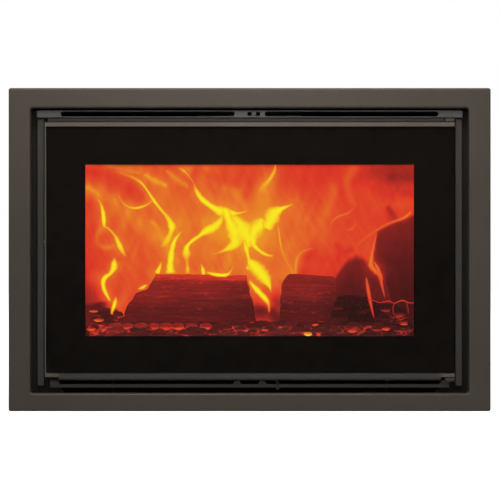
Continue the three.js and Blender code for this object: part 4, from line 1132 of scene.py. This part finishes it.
# Each tongue: its depth, then its spots as x, y, half width in the picture and warmth
tongues = {
    "leftHook": (-0.02, [
        (96, 196, 0.8, 0.7), (101, 204, 1.4, 0.85), (103.4, 213, 2.2, 1.0), (104.2, 222, 2.1, 1.0),
        (104.6, 228, 1.2, 0.85),
    ]),
    "leftCurl": (-0.012, [
        (104.5, 226, 0.9, 0.86), (109, 229, 1.2, 0.84), (115, 236, 1.6, 0.86), (118.5, 243, 2.6, 0.97),
        (122, 250, 2.4, 0.92), (126, 257, 0.9, 0.7),
    ]),
    "leftDrop": (-0.05, [
        (114.6, 257, 0.9, 0.74), (114, 263, 2.8, 0.98), (113.6, 268, 3.1, 1.0), (110.5, 273.5, 2.4, 0.96),
        (105.5, 277.5, 2.8, 1.0), (103.2, 283, 2.5, 1.0), (104.5, 290, 2.1, 0.98), (108, 297, 1.7, 0.92),
        (110.5, 302, 1.2, 0.8),
    ]),
    "leftToe": (-0.055, [
        (116, 296, 0.8, 0.66), (115, 302, 2.0, 0.96), (113.6, 307, 2.2, 1.0), (112, 312, 1.5, 0.82),
        (111.4, 319, 0.9, 0.6),
    ]),
    "swag": (0.02, [
        (117.5, 193, 0.7, 0.66), (121, 200, 0.9, 0.72), (126, 205.5, 1.1, 0.8), (133, 208, 1.3, 0.88),
        (140, 207.4, 1.4, 0.92), (147, 204.6, 1.2, 0.84), (153, 200, 0.8, 0.8),
    ]),
    "diagonal": (0.012, [
        (113, 170.5, 1.4, 0.64), (126, 174.5, 1.8, 0.68), (134, 178, 1.8, 0.76), (141.5, 183, 1.5, 0.88),
        (147.5, 191, 1.3, 0.92), (153.5, 200, 1.7, 0.96), (161, 209.6, 1.6, 0.9), (167.5, 217.5, 2.2, 0.92),
        (171.6, 226, 3.6, 1.0), (170.6, 233, 2.6, 0.92), (166, 242, 3.2, 0.88), (160, 248, 1.4, 0.74),
    ]),
    "column": (0.0, [
        (182.5, 230, 0.6, 0.72), (178.5, 235, 1.3, 0.9), (175, 240, 1.8, 1.0), (172.6, 248, 2.5, 1.0),
        (171, 257, 3.0, 1.0), (170.2, 266, 3.5, 1.0), (170.6, 274, 6.4, 1.0),
    ]),
    "sparkLeft": (-0.03, [
        (161.5, 261, 0.6, 0.7), (159.6, 267, 1.6, 0.96), (157, 273.5, 2.8, 0.98),
    ]),
    "arm": (0.005, [
        (223, 214, 1.4, 0.86), (220, 221, 3.0, 0.96), (214, 227, 4.2, 1.0), (206, 231, 4.0, 1.0),
        (199, 236, 2.0, 0.98), (192, 241, 1.8, 1.0), (187, 247, 2.8, 1.0), (186.5, 254, 4.4, 0.94),
        (187, 260, 2.1, 0.8), (187.4, 267, 2.0, 0.86), (187.8, 274, 2.9, 0.92),
    ]),
    "crown": (0.016, [
        (176, 166.5, 0.9, 0.7), (184, 171, 1.3, 0.84), (190, 177.5, 1.0, 0.72), (194, 184, 1.0, 0.7),
        (196, 190, 1.9, 0.9), (201, 198, 2.9, 1.0), (208, 204, 3.0, 1.0), (215, 208.6, 3.6, 1.0),
        (224, 212.5, 5.2, 1.0), (232, 213.6, 3.2, 1.0), (240, 213, 1.2, 0.9), (251, 209.6, 0.7, 0.78),
    ]),
    "trunk": (-0.004, [
        (225, 208, 3.6, 1.0), (228, 218, 4.0, 1.0), (232, 227, 6.6, 1.0), (236, 235, 8.6, 1.0),
        (235, 243, 6.6, 1.0), (228, 248.4, 2.8, 0.95), (219, 252.4, 1.3, 0.8), (211, 255, 0.6, 0.68),
    ]),
    "bridge": (0.008, [
        (230, 233, 5.0, 1.0), (241, 231, 7.2, 1.0), (252, 231, 8.6, 1.0), (259, 225, 6.6, 1.0),
        (264, 219, 4.0, 0.96),
    ]),
    "heart": (-0.002, [
        (232, 216, 3.0, 0.94), (238, 223, 6.0, 1.0), (244, 231, 10.0, 1.0), (249, 239, 9.0, 1.0),
        (247, 246, 4.0, 0.96), (244, 252, 1.6, 0.8),
    ]),
    "flag": (0.0, [
        (293, 204, 0.6, 0.8), (287, 206.5, 1.2, 0.94), (280, 209.5, 3.4, 1.0), (273.6, 214, 7.0, 1.0),
        (270, 222, 6.2, 1.0), (266, 229, 4.6, 1.0),
    ]),
    "hook": (-0.006, [
        (262, 224, 4.0, 1.0), (255, 230, 5.8, 1.0), (252.4, 238, 4.6, 1.0), (254, 245, 2.6, 0.98),
        (260, 251, 1.9, 0.96), (267, 255, 1.7, 0.92), (274, 256, 1.0, 0.78),
    ]),
    "wisp": (0.02, [
        (275.5, 164, 0.7, 0.68), (274, 172, 1.9, 0.84), (269, 180, 2.2, 0.86), (263, 187, 2.8, 0.8),
        (259, 193, 2.4, 0.72),
    ]),
    "stem": (-0.012, [
        (243.5, 238, 0.8, 0.86), (246, 247, 2.0, 0.98), (248, 256, 1.8, 0.95), (250, 264, 2.4, 0.96),
        (247, 270, 3.0, 0.9),
    ]),
    "leaf": (-0.075, [
        (248, 259, 1.4, 0.92), (253, 264.6, 5.6, 1.0), (260, 272, 7.2, 1.0), (266, 280, 5.4, 1.0),
        (269.8, 287, 1.8, 0.94), (271, 293, 0.6, 0.66),
    ]),
    "leafLow": (-0.08, [
        (249, 280, 0.7, 0.84), (253.4, 286, 2.1, 1.0), (259.6, 292.6, 3.0, 1.0), (265.5, 299, 2.6, 1.0),
        (268.6, 304.6, 1.8, 0.82), (269.2, 313, 1.0, 0.56),
    ]),
    "hem": (-0.035, [
        (205, 271.4, 0.7, 0.74), (211, 273.6, 1.5, 0.96), (219, 275, 1.9, 1.0), (227, 274.6, 1.7, 0.98),
        (231, 270.6, 0.9, 0.82), (234, 264, 0.5, 0.68),
    ]),
    "sparkRight": (-0.03, [
        (201, 263.6, 0.7, 0.74), (202.8, 269, 1.7, 0.96), (203.8, 274.6, 2.4, 0.95),
    ]),
    "ledge": (-0.04, [
        (138, 289, 0.8, 0.8), (142.6, 287.4, 1.5, 0.95), (147, 284.6, 0.8, 0.8),
    ]),
    "thread": (-0.01, [
        (278, 226, 0.8, 0.78), (279.6, 238, 1.0, 0.84), (281.6, 250, 0.9, 0.8), (286, 260, 0.9, 0.72),
        (291, 269, 1.6, 0.72), (294, 275, 2.4, 0.74),
    ]),
    "rim": (0.01, [
        (314, 248, 0.6, 0.58), (306, 250, 1.0, 0.64), (300, 253.6, 1.5, 0.7), (296.6, 260, 1.9, 0.74),
        (295.6, 268, 2.0, 0.74), (295.6, 275, 1.8, 0.72),
    ]),
    "redArc": (0.015, [
        (354, 207, 0.6, 0.55), (348, 213, 1.0, 0.6), (338, 216.6, 1.1, 0.64), (332, 222, 0.9, 0.6),
        (328.6, 229, 0.7, 0.54),
    ]),
    "redRim": (0.0, [
        (415, 208, 1.2, 0.58), (405, 217, 1.6, 0.66), (397, 220.4, 1.4, 0.6), (386, 224.6, 1.4, 0.56),
        (374, 231.6, 1.5, 0.55), (363, 240, 1.6, 0.54), (357, 247, 1.3, 0.5), (361, 256, 0.9, 0.46),
    ]),
    "redHook": (0.008, [
        (343, 229, 0.5, 0.5), (349, 230, 0.8, 0.58), (354, 226.6, 0.8, 0.56), (356, 220, 0.5, 0.5),
    ]),
    "spur": (-0.03, [
        (377, 233, 0.8, 0.54), (373.4, 245, 1.3, 0.6), (371.4, 256, 1.9, 0.66), (370.6, 265, 2.8, 0.68),
        (375, 270.6, 2.9, 0.64), (379.6, 276, 1.9, 0.58), (382, 286, 1.2, 0.5), (385.5, 299, 0.7, 0.36),
    ]),
    "spurTip": (-0.032, [
        (373, 261, 0.6, 0.6), (377, 267, 1.4, 0.64), (380.6, 275, 1.6, 0.6), (382, 282, 0.8, 0.5),
    ]),
    "emberLine": (-0.07, [
        (366, 299, 0.3, 0.3), (372, 300, 0.5, 0.4), (380, 302.5, 0.5, 0.36), (388, 301, 0.6, 0.42),
        (394, 303, 0.5, 0.38), (402, 300.5, 0.6, 0.42), (410, 303, 0.5, 0.38), (416, 302, 0.4, 0.34),
    ]),
    "emberLeft": (-0.072, [
        (394, 303, 0.4, 0.36), (392.4, 308, 0.5, 0.32), (393.6, 315, 0.4, 0.3),
    ]),
    "emberFoot": (-0.072, [
        (396, 318, 0.4, 0.3), (401, 319.4, 0.5, 0.34), (406, 317.6, 0.4, 0.3),
    ]),
    "emberRight": (-0.072, [
        (408.4, 314, 0.4, 0.28), (408, 308, 0.5, 0.3), (406.4, 303, 0.4, 0.34),
    ]),
    "spurLow": (-0.06, [
        (366, 277, 0.8, 0.5), (367.6, 288, 1.6, 0.56), (369.4, 299, 1.6, 0.52), (371.6, 309, 1.1, 0.44),
        (374, 318, 0.6, 0.3),
    ]),
}

# Softer bands that only tint the curtain: warmth, strength, then spots as x, y and half width
bands = [
    (0.70, 0.85, [(80, 186, 5), (100, 192, 6), (122, 206, 7), (142, 224, 7), (162, 244, 6), (176, 262, 5)]),
    (0.82, 0.6, [(80, 184.5, 1.6), (90, 187, 1.6), (98, 192, 1.4), (103, 200, 1.2)]),
    (0.66, 0.8, [(112, 166, 6), (136, 172, 7), (156, 184, 9), (172, 202, 9), (184, 222, 8)]),
    (0.84, 0.8, [(146, 175, 1.8), (160, 183, 2.2), (166, 185.5, 1.4)]),
    (0.80, 0.75, [(168, 172, 1.2), (176, 178, 3.2), (186, 186, 1.6)]),
    (0.80, 0.6, [(106, 165, 1.4), (122, 170, 1.8), (138, 173, 1.2)]),
    (0.72, 0.8, [(184, 168, 3), (204, 172, 4), (222, 182, 5), (236, 196, 5), (246, 206, 5)]),
    (0.42, 0.6, [(196, 170, 4), (214, 176, 5), (230, 184, 5)]),
    (0.46, 0.7, [(238, 168, 8), (250, 182, 7), (252, 196, 5)]),
    (0.80, 0.6, [(150, 222, 1.4), (160, 232, 2.6), (166, 246, 2.0)]),
    (0.72, 0.75, [(268, 180, 6), (262, 196, 9), (266, 212, 12), (262, 232, 12)]),
    (0.66, 0.7, [(282, 196, 8), (296, 212, 12), (304, 228, 12), (298, 246, 10)]),
    (0.60, 0.7, [(330, 188, 6), (327, 204, 7), (318, 224, 10), (322, 240, 7)]),
    (0.72, 0.7, [(286, 248, 8), (290, 262, 7), (286, 274, 6)]),
    (0.69, 0.8, [(206, 246, 8), (222, 258, 12), (238, 262, 10)]),
    (0.78, 0.7, [(208, 222, 7), (222, 232, 9), (236, 240, 12), (254, 240, 12)]),
    (0.76, 0.6, [(158, 236, 5), (168, 240, 7), (176, 236, 5)]),
    (0.68, 0.8, [(103, 227, 1.4), (98.6, 232, 1.9), (97.6, 239, 2.3), (101, 245, 2.4), (107, 248, 2.0),
                 (114, 246, 1.6)]),
    (0.60, 0.6, [(137, 232, 1.4), (136, 250, 1.6), (130, 266, 1.6), (124, 276, 1.2)]),
    (0.56, 0.8, [(140, 262, 8), (130, 280, 6), (122, 296, 4), (118, 306, 3)]),
    (0.56, 0.8, [(352, 166, 4), (347, 180, 3.4), (350, 196, 3), (354, 204, 2)]),
    (0.52, 0.7, [(364, 196, 10), (380, 204, 8), (400, 206, 6), (416, 200, 5)]),
    (0.30, 0.8, [(376, 172, 7), (392, 168, 7), (420, 166, 7)]),
    (0.26, 0.75, [(388, 178, 5), (402, 178, 6), (420, 176, 8)]),
    (0.34, 0.6, [(404, 194, 3), (416, 198, 4)]),
    (0.28, 0.8, [(389, 208, 2.5), (392, 214, 3), (395, 221, 2.5)]),
    (0.42, 0.75, [(110, 176, 7), (128, 184, 8), (138, 194, 7)]),
    (0.40, 0.7, [(88, 172, 5), (98, 174, 5)]),
    (0.44, 0.9, [(88, 205, 4), (90, 225, 6), (88, 250, 8), (94, 258, 7)]),
    (0.46, 0.8, [(94, 276, 8), (120, 276, 5), (118, 290, 4)]),
    (0.32, 0.6, [(336, 246, 3), (341, 254, 4), (350, 250, 2)]),
    (0.42, 0.85, [(306, 258, 5), (316, 256, 8), (330, 262, 9), (346, 262, 8)]),
    (0.40, 0.8, [(304, 274, 6), (322, 274, 8), (340, 276, 8)]),
    (0.30, 0.9, [(262, 296, 6), (273, 300, 6), (280, 304, 5)]),
    (0.18, 0.97, [(258, 312, 7), (272, 314, 7), (282, 322, 7)]),
]

curtainSettings = {
    "depth": 0.045,
    "columns": 300,
    "rows": 119,
    "thickness": 0.0012,
    "wave": 0.012,
    "wobble": 2.6,
    "cloudiness": 0.10,
    "streaks": 0.07,
    "cornerRadius": 0.05,  # the curtain bends forward beside the bricks
    "front": -0.080,  # where its two sides end
    "fade": 0.034,
    # the base colours: x, y, spread in x, spread in y, added warmth
    "base": 0.48,
    "glows": [
        (190, 220, 72, 46, 0.12), (246, 240, 46, 34, 0.06), (96, 176, 30, 12, -0.02),
        (84, 300, 16, 30, -0.20), (318, 178, 50, 26, -0.08), (400, 186, 34, 20, -0.06),
        (420, 270, 30, 40, -0.10),
    ],
    # dark shapes in the picture: their upper and left edges, the warmth just below the upper edge and
    # far below it, and how soft their edges are
    "shades": [
        {"upper": [(374, 250), (378, 231), (398, 222), (414, 215), (430, 208)],
         "left": [(378, 231), (375, 250), (368, 262), (373, 284), (384, 300)],
         "top": 0.235, "deep": 0.06, "soft": 3.5},
        {"upper": [(324, 310), (333, 280), (340, 269), (347, 262), (355, 257), (363, 258), (370, 264),
                   (380, 270), (388, 284), (396, 400)],
         "left": [(324, 200), (324, 400)], "top": 0.22, "deep": 0.0, "soft": 7.0},
        {"upper": [(60, 303), (110, 303), (119, 310), (124, 330)],
         "left": [(0, 200), (0, 400)], "top": 0.15, "deep": 0.20, "soft": 3.5},
    ],
}


def fireWarmth(xs, ys):  # the fire's warmth over spots of the picture
    across = np.array([noise.noise(Vector((x / 19, y / 19, 0.7))) for x, y in zip(xs, ys)])
    upward = np.array([noise.noise(Vector((x / 19, y / 19, 9.7))) for x, y in zip(xs, ys)])
    xs, ys = xs + curtainSettings["wobble"] * across, ys + curtainSettings["wobble"] * upward
    warmth = np.full(len(xs), curtainSettings["base"])
    streaks = np.array([noise.noise(Vector(((x + 0.35 * y) / 9, y / 42, 2.0))) for x, y in zip(xs, ys)])
    threads = np.array([noise.noise(Vector(((x - 0.5 * y) / 4, y / 30, 6.0))) for x, y in zip(xs, ys)])
    for middleX, middleY, spreadX, spreadY, added in curtainSettings["glows"]:
        warmth += added * np.exp(-(((xs - middleX) / spreadX) ** 2 + ((ys - middleY) / spreadY) ** 2) / 2)
    for target, strength, spots in bands:
        distance, width, _ = nearest(xs, ys, [(x, y, half, 0) for x, y, half in spots])
        weight = strength * np.exp(-(distance / width) ** 2 / 1.6)
        warmth += (target - warmth) * weight
    bright = np.clip((warmth - 0.30) / 0.25, 0, 1)
    warmth += curtainSettings["streaks"] * bright * (streaks + 0.7 * threads)
    for shade in curtainSettings["shades"]:
        upper, left = np.array(shade["upper"], dtype=float), np.array(shade["left"], dtype=float)
        below = ys - np.interp(xs, upper[:, 0], upper[:, 1])
        inside = np.clip(np.minimum(below, xs - np.interp(ys, left[:, 1], left[:, 0])) / shade["soft"] + 0.5,
                         0, 1)
        target = shade["top"] + (shade["deep"] - shade["top"]) * np.clip(below / 80, 0, 1)
        warmth += (target - warmth) * inside * 0.97
    for _, spots in tongues.values():
        distance, width, heat = nearest(xs, ys, spots)
        strength = np.clip((heat - 0.45) * 1.1, 0.0, 0.5)
        halo = strength * np.exp(-(distance / (2.0 * width + 2.4)) ** 2)
        warmth += (np.maximum(warmth, 0.5 * heat + 0.26) - warmth) * halo
    return warmth


def nearest(xs, ys, spots):  # how far each place is from a stroke, and the stroke's width and warmth there
    best = np.full(len(xs), 1e9)
    width, heat = np.ones(len(xs)), np.zeros(len(xs))
    for (x0, y0, w0, h0), (x1, y1, w1, h1) in zip(spots, spots[1:]):
        alongX, alongY = x1 - x0, y1 - y0
        share = np.clip(((xs - x0) * alongX + (ys - y0) * alongY) / (alongX ** 2 + alongY ** 2), 0, 1)
        distance = np.hypot(xs - x0 - share * alongX, ys - y0 - share * alongY)
        closer = distance < best
        best = np.where(closer, distance, best)
        width = np.where(closer, w0 + (w1 - w0) * share, width)
        heat = np.where(closer, h0 + (h1 - h0) * share, heat)
    return best, width, heat


def flameFinish(name, cloudiness):
    material, tree, shader = newMaterial(
        name, Metallic=0.0, **{"Base Color": grey(0.0), "Roughness": 1.0, "Emission Strength": 1.0})
    shader.inputs["Specular IOR Level"].default_value = 0.0
    warmth, veil = attributeValue(tree, "warmth"), attributeValue(tree, "veil")
    wisps = addNoise(tree, objectPlace(tree, (1.0, 1.0, 0.7)), 24.0, detail=4.0, distortion=1.8)
    swing = times(tree, mathNode(tree, "SUBTRACT", wisps, 0.5), cloudiness)
    emitHeat(tree, shader, plus(tree, warmth, swing, clamp=True))
    link(tree, veil, shader.inputs["Alpha"])
    return material


def bendCurtain(curtain, flat, arc):  # bends the sheet's sides forward round two corners, and ripples it
    depth, corner = curtainSettings["depth"], curtainSettings["cornerRadius"]
    for vertex in curtain.data.vertices:
        spot = vertex.co
        side, walked = math.copysign(1.0, spot.x), abs(spot.x)
        turn = min(max(walked - flat, 0.0), arc) / corner
        x = side * (min(walked, flat) + corner * math.sin(turn))
        y = depth - corner * (1 - math.cos(turn)) - max(0.0, walked - flat - arc)
        y += curtainSettings["wave"] * noise.noise(Vector((spot.x * 7, spot.z * 5, 1.5))) * math.cos(turn)
        vertex.co = (x, y, spot.z)


def warmCurtain(curtain, high):  # gives each place its warmth, and fades the sheet at its top and its sides
    places = np.array([inPicture(vertex.co) for vertex in curtain.data.vertices])
    warmth = np.maximum(fireWarmth(places[:, 0], places[:, 1]), 0.02)
    front, fade = curtainSettings["front"], curtainSettings["fade"]
    veil = [0.96 * (1 - between(high - 0.012, high, vertex.co.z)) * between(front, front + fade, vertex.co.y)
            for vertex in curtain.data.vertices]
    addAttributes(curtain, warmth=warmth, veil=veil)


def buildCurtain():  # a sheet behind the logs whose sides bend forward beside the bricks
    leftBrick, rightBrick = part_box("side_brick_left")[1].x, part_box("side_brick_right")[0].x
    low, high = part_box("ember_bed")[1].z - 0.006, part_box("baffle")[0].z - 0.003
    depth, corner = curtainSettings["depth"], curtainSettings["cornerRadius"]
    halfWidth = (rightBrick - leftBrick) / 2 - 0.003
    flat, arc = halfWidth - corner, corner * math.pi / 2
    reach = flat + arc + depth - corner - curtainSettings["front"]
    deselectAll()
    bpy.ops.mesh.primitive_grid_add(
        x_subdivisions=curtainSettings["columns"], y_subdivisions=curtainSettings["rows"], size=1,
        location=(0, depth, (low + high) / 2), rotation=(math.pi / 2, 0, 0),
    )
    curtain = bpy.context.object
    curtain.name = "flameCurtain"
    curtain.scale = (2 * reach, high - low, 1)
    settle(curtain)
    bendCurtain(curtain, flat, arc)
    solid = curtain.modifiers.new("thickness", "SOLIDIFY")
    solid.thickness = curtainSettings["thickness"]
    solid.offset = 1.0
    applyModifiers(curtain)
    cleanNormals(curtain)
    warmCurtain(curtain, high)
    smooth(curtain, 60)
    finish(curtain, flameFinish("flame curtain", curtainSettings["cloudiness"]), "casing", "embers")


tongueSettings = {"sides": 20, "samples": 5, "thickness": 0.30, "spread": 1.42, "widthNoise": 0.25}


def smoothSpots(spots, samples):  # a soft curve through rows of numbers
    rows = [spots[0], *spots, spots[-1]]
    curve = []
    for a, b, c, d in zip(rows, rows[1:], rows[2:], rows[3:]):
        for k in range(samples):
            t = k / samples
            curve.append([
                0.5 * (2 * q + (r - p) * t + (2 * p - 5 * q + 4 * r - s) * t * t
                       + (3 * q - p - 3 * r + s) * t ** 3)
                for p, q, r, s in zip(a, b, c, d)
            ])
    return [*curve, list(spots[-1])]


def addCutRod(name, length):  # a rod of that length that is cut across at each unit
    rod = addRod(name, (0, 0, 0), 1.0, length, "Z", tongueSettings["sides"])
    vertices = rod.data.vertices
    selectParts(rod, "EDGE", lambda edge: abs(
        vertices[edge.vertices[0]].co.z - vertices[edge.vertices[1]].co.z) > 0.5)
    bpy.ops.mesh.subdivide(number_cuts=length - 1)
    bpy.ops.object.mode_set(mode="OBJECT")
    return rod


def layTongue(tongue, curve, depth):  # lays the rod along the drawn curve and flattens it
    last = len(curve) - 1
    pictured, softness, heats = [], [], []
    for vertex in tongue.data.vertices:
        index = min(last, max(0, round(vertex.co.z + last / 2)))
        x, y, halfWidth, heat = curve[index]
        before, after = curve[max(0, index - 1)], curve[min(last, index + 1)]
        along = Vector((after[0] - before[0], after[1] - before[1])).normalized()
        ragged = 1 + tongueSettings["widthNoise"] * noise.noise(Vector((x / 4, y / 4, depth * 90)))
        wide = halfWidth * ragged * tongueSettings["spread"]
        across, thick = vertex.co.x, vertex.co.y
        spotX, spotY = x - along.y * wide * across, y + along.x * wide * across
        sway = 0.012 * noise.noise(Vector((x / 16, y / 16, depth * 40)))
        place = seen(spotX, spotY, depth)
        place.y += sway + thick * wide * pixelSize(depth) * tongueSettings["thickness"]
        share = index / last
        ends = between(0.0, 0.09, share) * between(0.0, 0.09, 1 - share)
        pictured.append((spotX, spotY))
        softness.append((max(0.0, 1 - across * across), ends))
        heats.append(heat)
        vertex.co = place
    return np.array(pictured), np.array(softness), np.array(heats)


def buildTongue(name, depth, spots, material):
    curve = smoothSpots(spots, tongueSettings["samples"])
    tongue = addCutRod(name, len(curve) - 1)
    pictured, softness, heats = layTongue(tongue, curve, depth)
    around = np.clip(fireWarmth(pictured[:, 0], pictured[:, 1]), 0.32, 0.8)
    core = softness[:, 0] ** 1.2
    veil = softness[:, 0] ** 1.6 * softness[:, 1]
    addAttributes(tongue, warmth=around + (heats - around) * core, veil=veil)
    cleanNormals(tongue)
    smooth(tongue, 80)
    finish(tongue, material, "casing", "embers")


def buildFlames():
    buildCurtain()
    material = flameFinish("flame tongue", 0.05)
    for name, (depth, spots) in tongues.items():
        buildTongue("flame" + name[0].upper() + name[1:], depth, spots, material)


buildFlames()
print("stage: flames ready")


# Floor, light and camera

lightSettings = {
    "horizon": 0.03,  # the studio's dark walls, low all round
    "ceiling": 0.55,
    "floorGlow": 0.30,
}
# Lamps that aren't mirrored would else show as bright patches in the glass
lampSettings = {
    "topLight": {"power": 4.6, "size": (1.1, 0.3), "place": (-0.05, -0.72, 1.02)},
    "faceLight": {"power": 4.6, "size": (0.5, 0.14), "place": (-0.02, -1.25, 0.84),
                  "target": (0, 0, 0.4), "mirrored": False},
    "fillLight": {"power": 7.8, "size": (2.4, 1.4), "place": (-1.1, -3.4, 2.9)},
    "lowLight": {"power": 17, "size": (1.6, 0.5), "place": (0.2, -3.0, 0.25), "mirrored": False},
    "rearLight": {"power": 60, "size": (2.4, 1.4), "place": (1.2, 3.2, 2.8)},
}


def aim(piece, target):
    direction = Vector(target) - piece.location
    piece.rotation_euler = direction.to_track_quat("-Z", "Y").to_euler()


def addLamp(name, power, size, place, target=(0, 0, 0.3), mirrored=True):
    lamp = bpy.data.lights.new(name, "AREA")
    lamp.shape = "RECTANGLE"
    lamp.size, lamp.size_y = size
    lamp.energy = power
    holder = bpy.data.objects.new(name, lamp)
    bpy.context.scene.collection.objects.link(holder)
    holder.location = place
    holder.visible_glossy = mirrored
    holder.visible_transmission = mirrored
    aim(holder, target)


def seenDirectly(tree):  # 1 for what the camera sees, also straight through glass, but not in a reflection
    path = addNode(tree, "ShaderNodeLightPath")
    straight = mathNode(tree, "LESS_THAN", path.outputs["Ray Depth"], 2.5)
    through = times(tree, path.outputs["Is Transmission Ray"], straight)
    return mathNode(tree, "MAXIMUM", path.outputs["Is Camera Ray"], through)


def buildFloor():  # pale, but dark in the glass's reflection
    deselectAll()
    bpy.ops.mesh.primitive_plane_add(size=14, location=(0, 0, 0))
    floor = bpy.context.object
    floor.name = "floor"
    floor.visible_glossy = False
    material, tree, shader = newMaterial("pale floor", **{"Roughness": 0.9, "Emission Color": grey(1.0)})
    path = addNode(tree, "ShaderNodeLightPath")
    direct = seenDirectly(tree)
    pale = mathNode(tree, "MAXIMUM", direct, path.outputs["Is Diffuse Ray"])
    link(tree, mixColours(tree, pale, grey(0.03), grey(0.86)), shader.inputs["Base Color"])
    link(tree, times(tree, direct, 0.72), shader.inputs["Emission Strength"])
    floor.data.materials.append(material)


def buildWorld():  # white to the eye, a studio with a bright ceiling and dim walls to the object
    world = bpy.data.worlds.new("studio")
    bpy.context.scene.world = world
    world.use_nodes = True
    tree = world.node_tree
    output = tree.nodes["World Output"]
    place = addNode(tree, "ShaderNodeTexCoord")
    parts = addNode(tree, "ShaderNodeSeparateXYZ")
    link(tree, place.outputs["Generated"], parts.inputs["Vector"])
    height = plus(tree, times(tree, parts.outputs["Z"], 0.5), 0.5)
    floorGlow, horizon, ceiling = (grey(lightSettings[key]) for key in ("floorGlow", "horizon", "ceiling"))
    around = addRamp(tree, height, [(0.25, floorGlow), (0.42, horizon), (0.60, horizon), (0.85, ceiling)])
    soft, white = tree.nodes["Background"], addNode(tree, "ShaderNodeBackground", {"Color": grey(1.0)})
    link(tree, around, soft.inputs["Color"])
    mix = addNode(tree, "ShaderNodeMixShader")
    link(tree, seenDirectly(tree), mix.inputs["Fac"])
    link(tree, soft.outputs["Background"], mix.inputs[1])
    link(tree, white.outputs["Background"], mix.inputs[2])
    link(tree, mix.outputs["Shader"], output.inputs["Surface"])


def buildCamera():
    camera = bpy.data.cameras.new("camera")
    holder = bpy.data.objects.new("camera", camera)
    bpy.context.scene.collection.objects.link(holder)
    holder.location = (cameraSettings["sideways"], cameraY, cameraSettings["height"])
    holder.rotation_euler = (math.pi / 2, 0, 0)
    camera.sensor_width = cameraSettings["sensorWidth"]
    camera.lens = camera.sensor_width * cameraSettings["distance"] / cameraSettings["widthAtFrame"]
    bpy.context.scene.camera = holder


buildFloor()
buildWorld()
buildCamera()
for lampName, lamp in lampSettings.items():
    addLamp(lampName, **lamp)
bpy.context.scene.view_settings.view_transform = "Standard"
print("stage: studio ready")
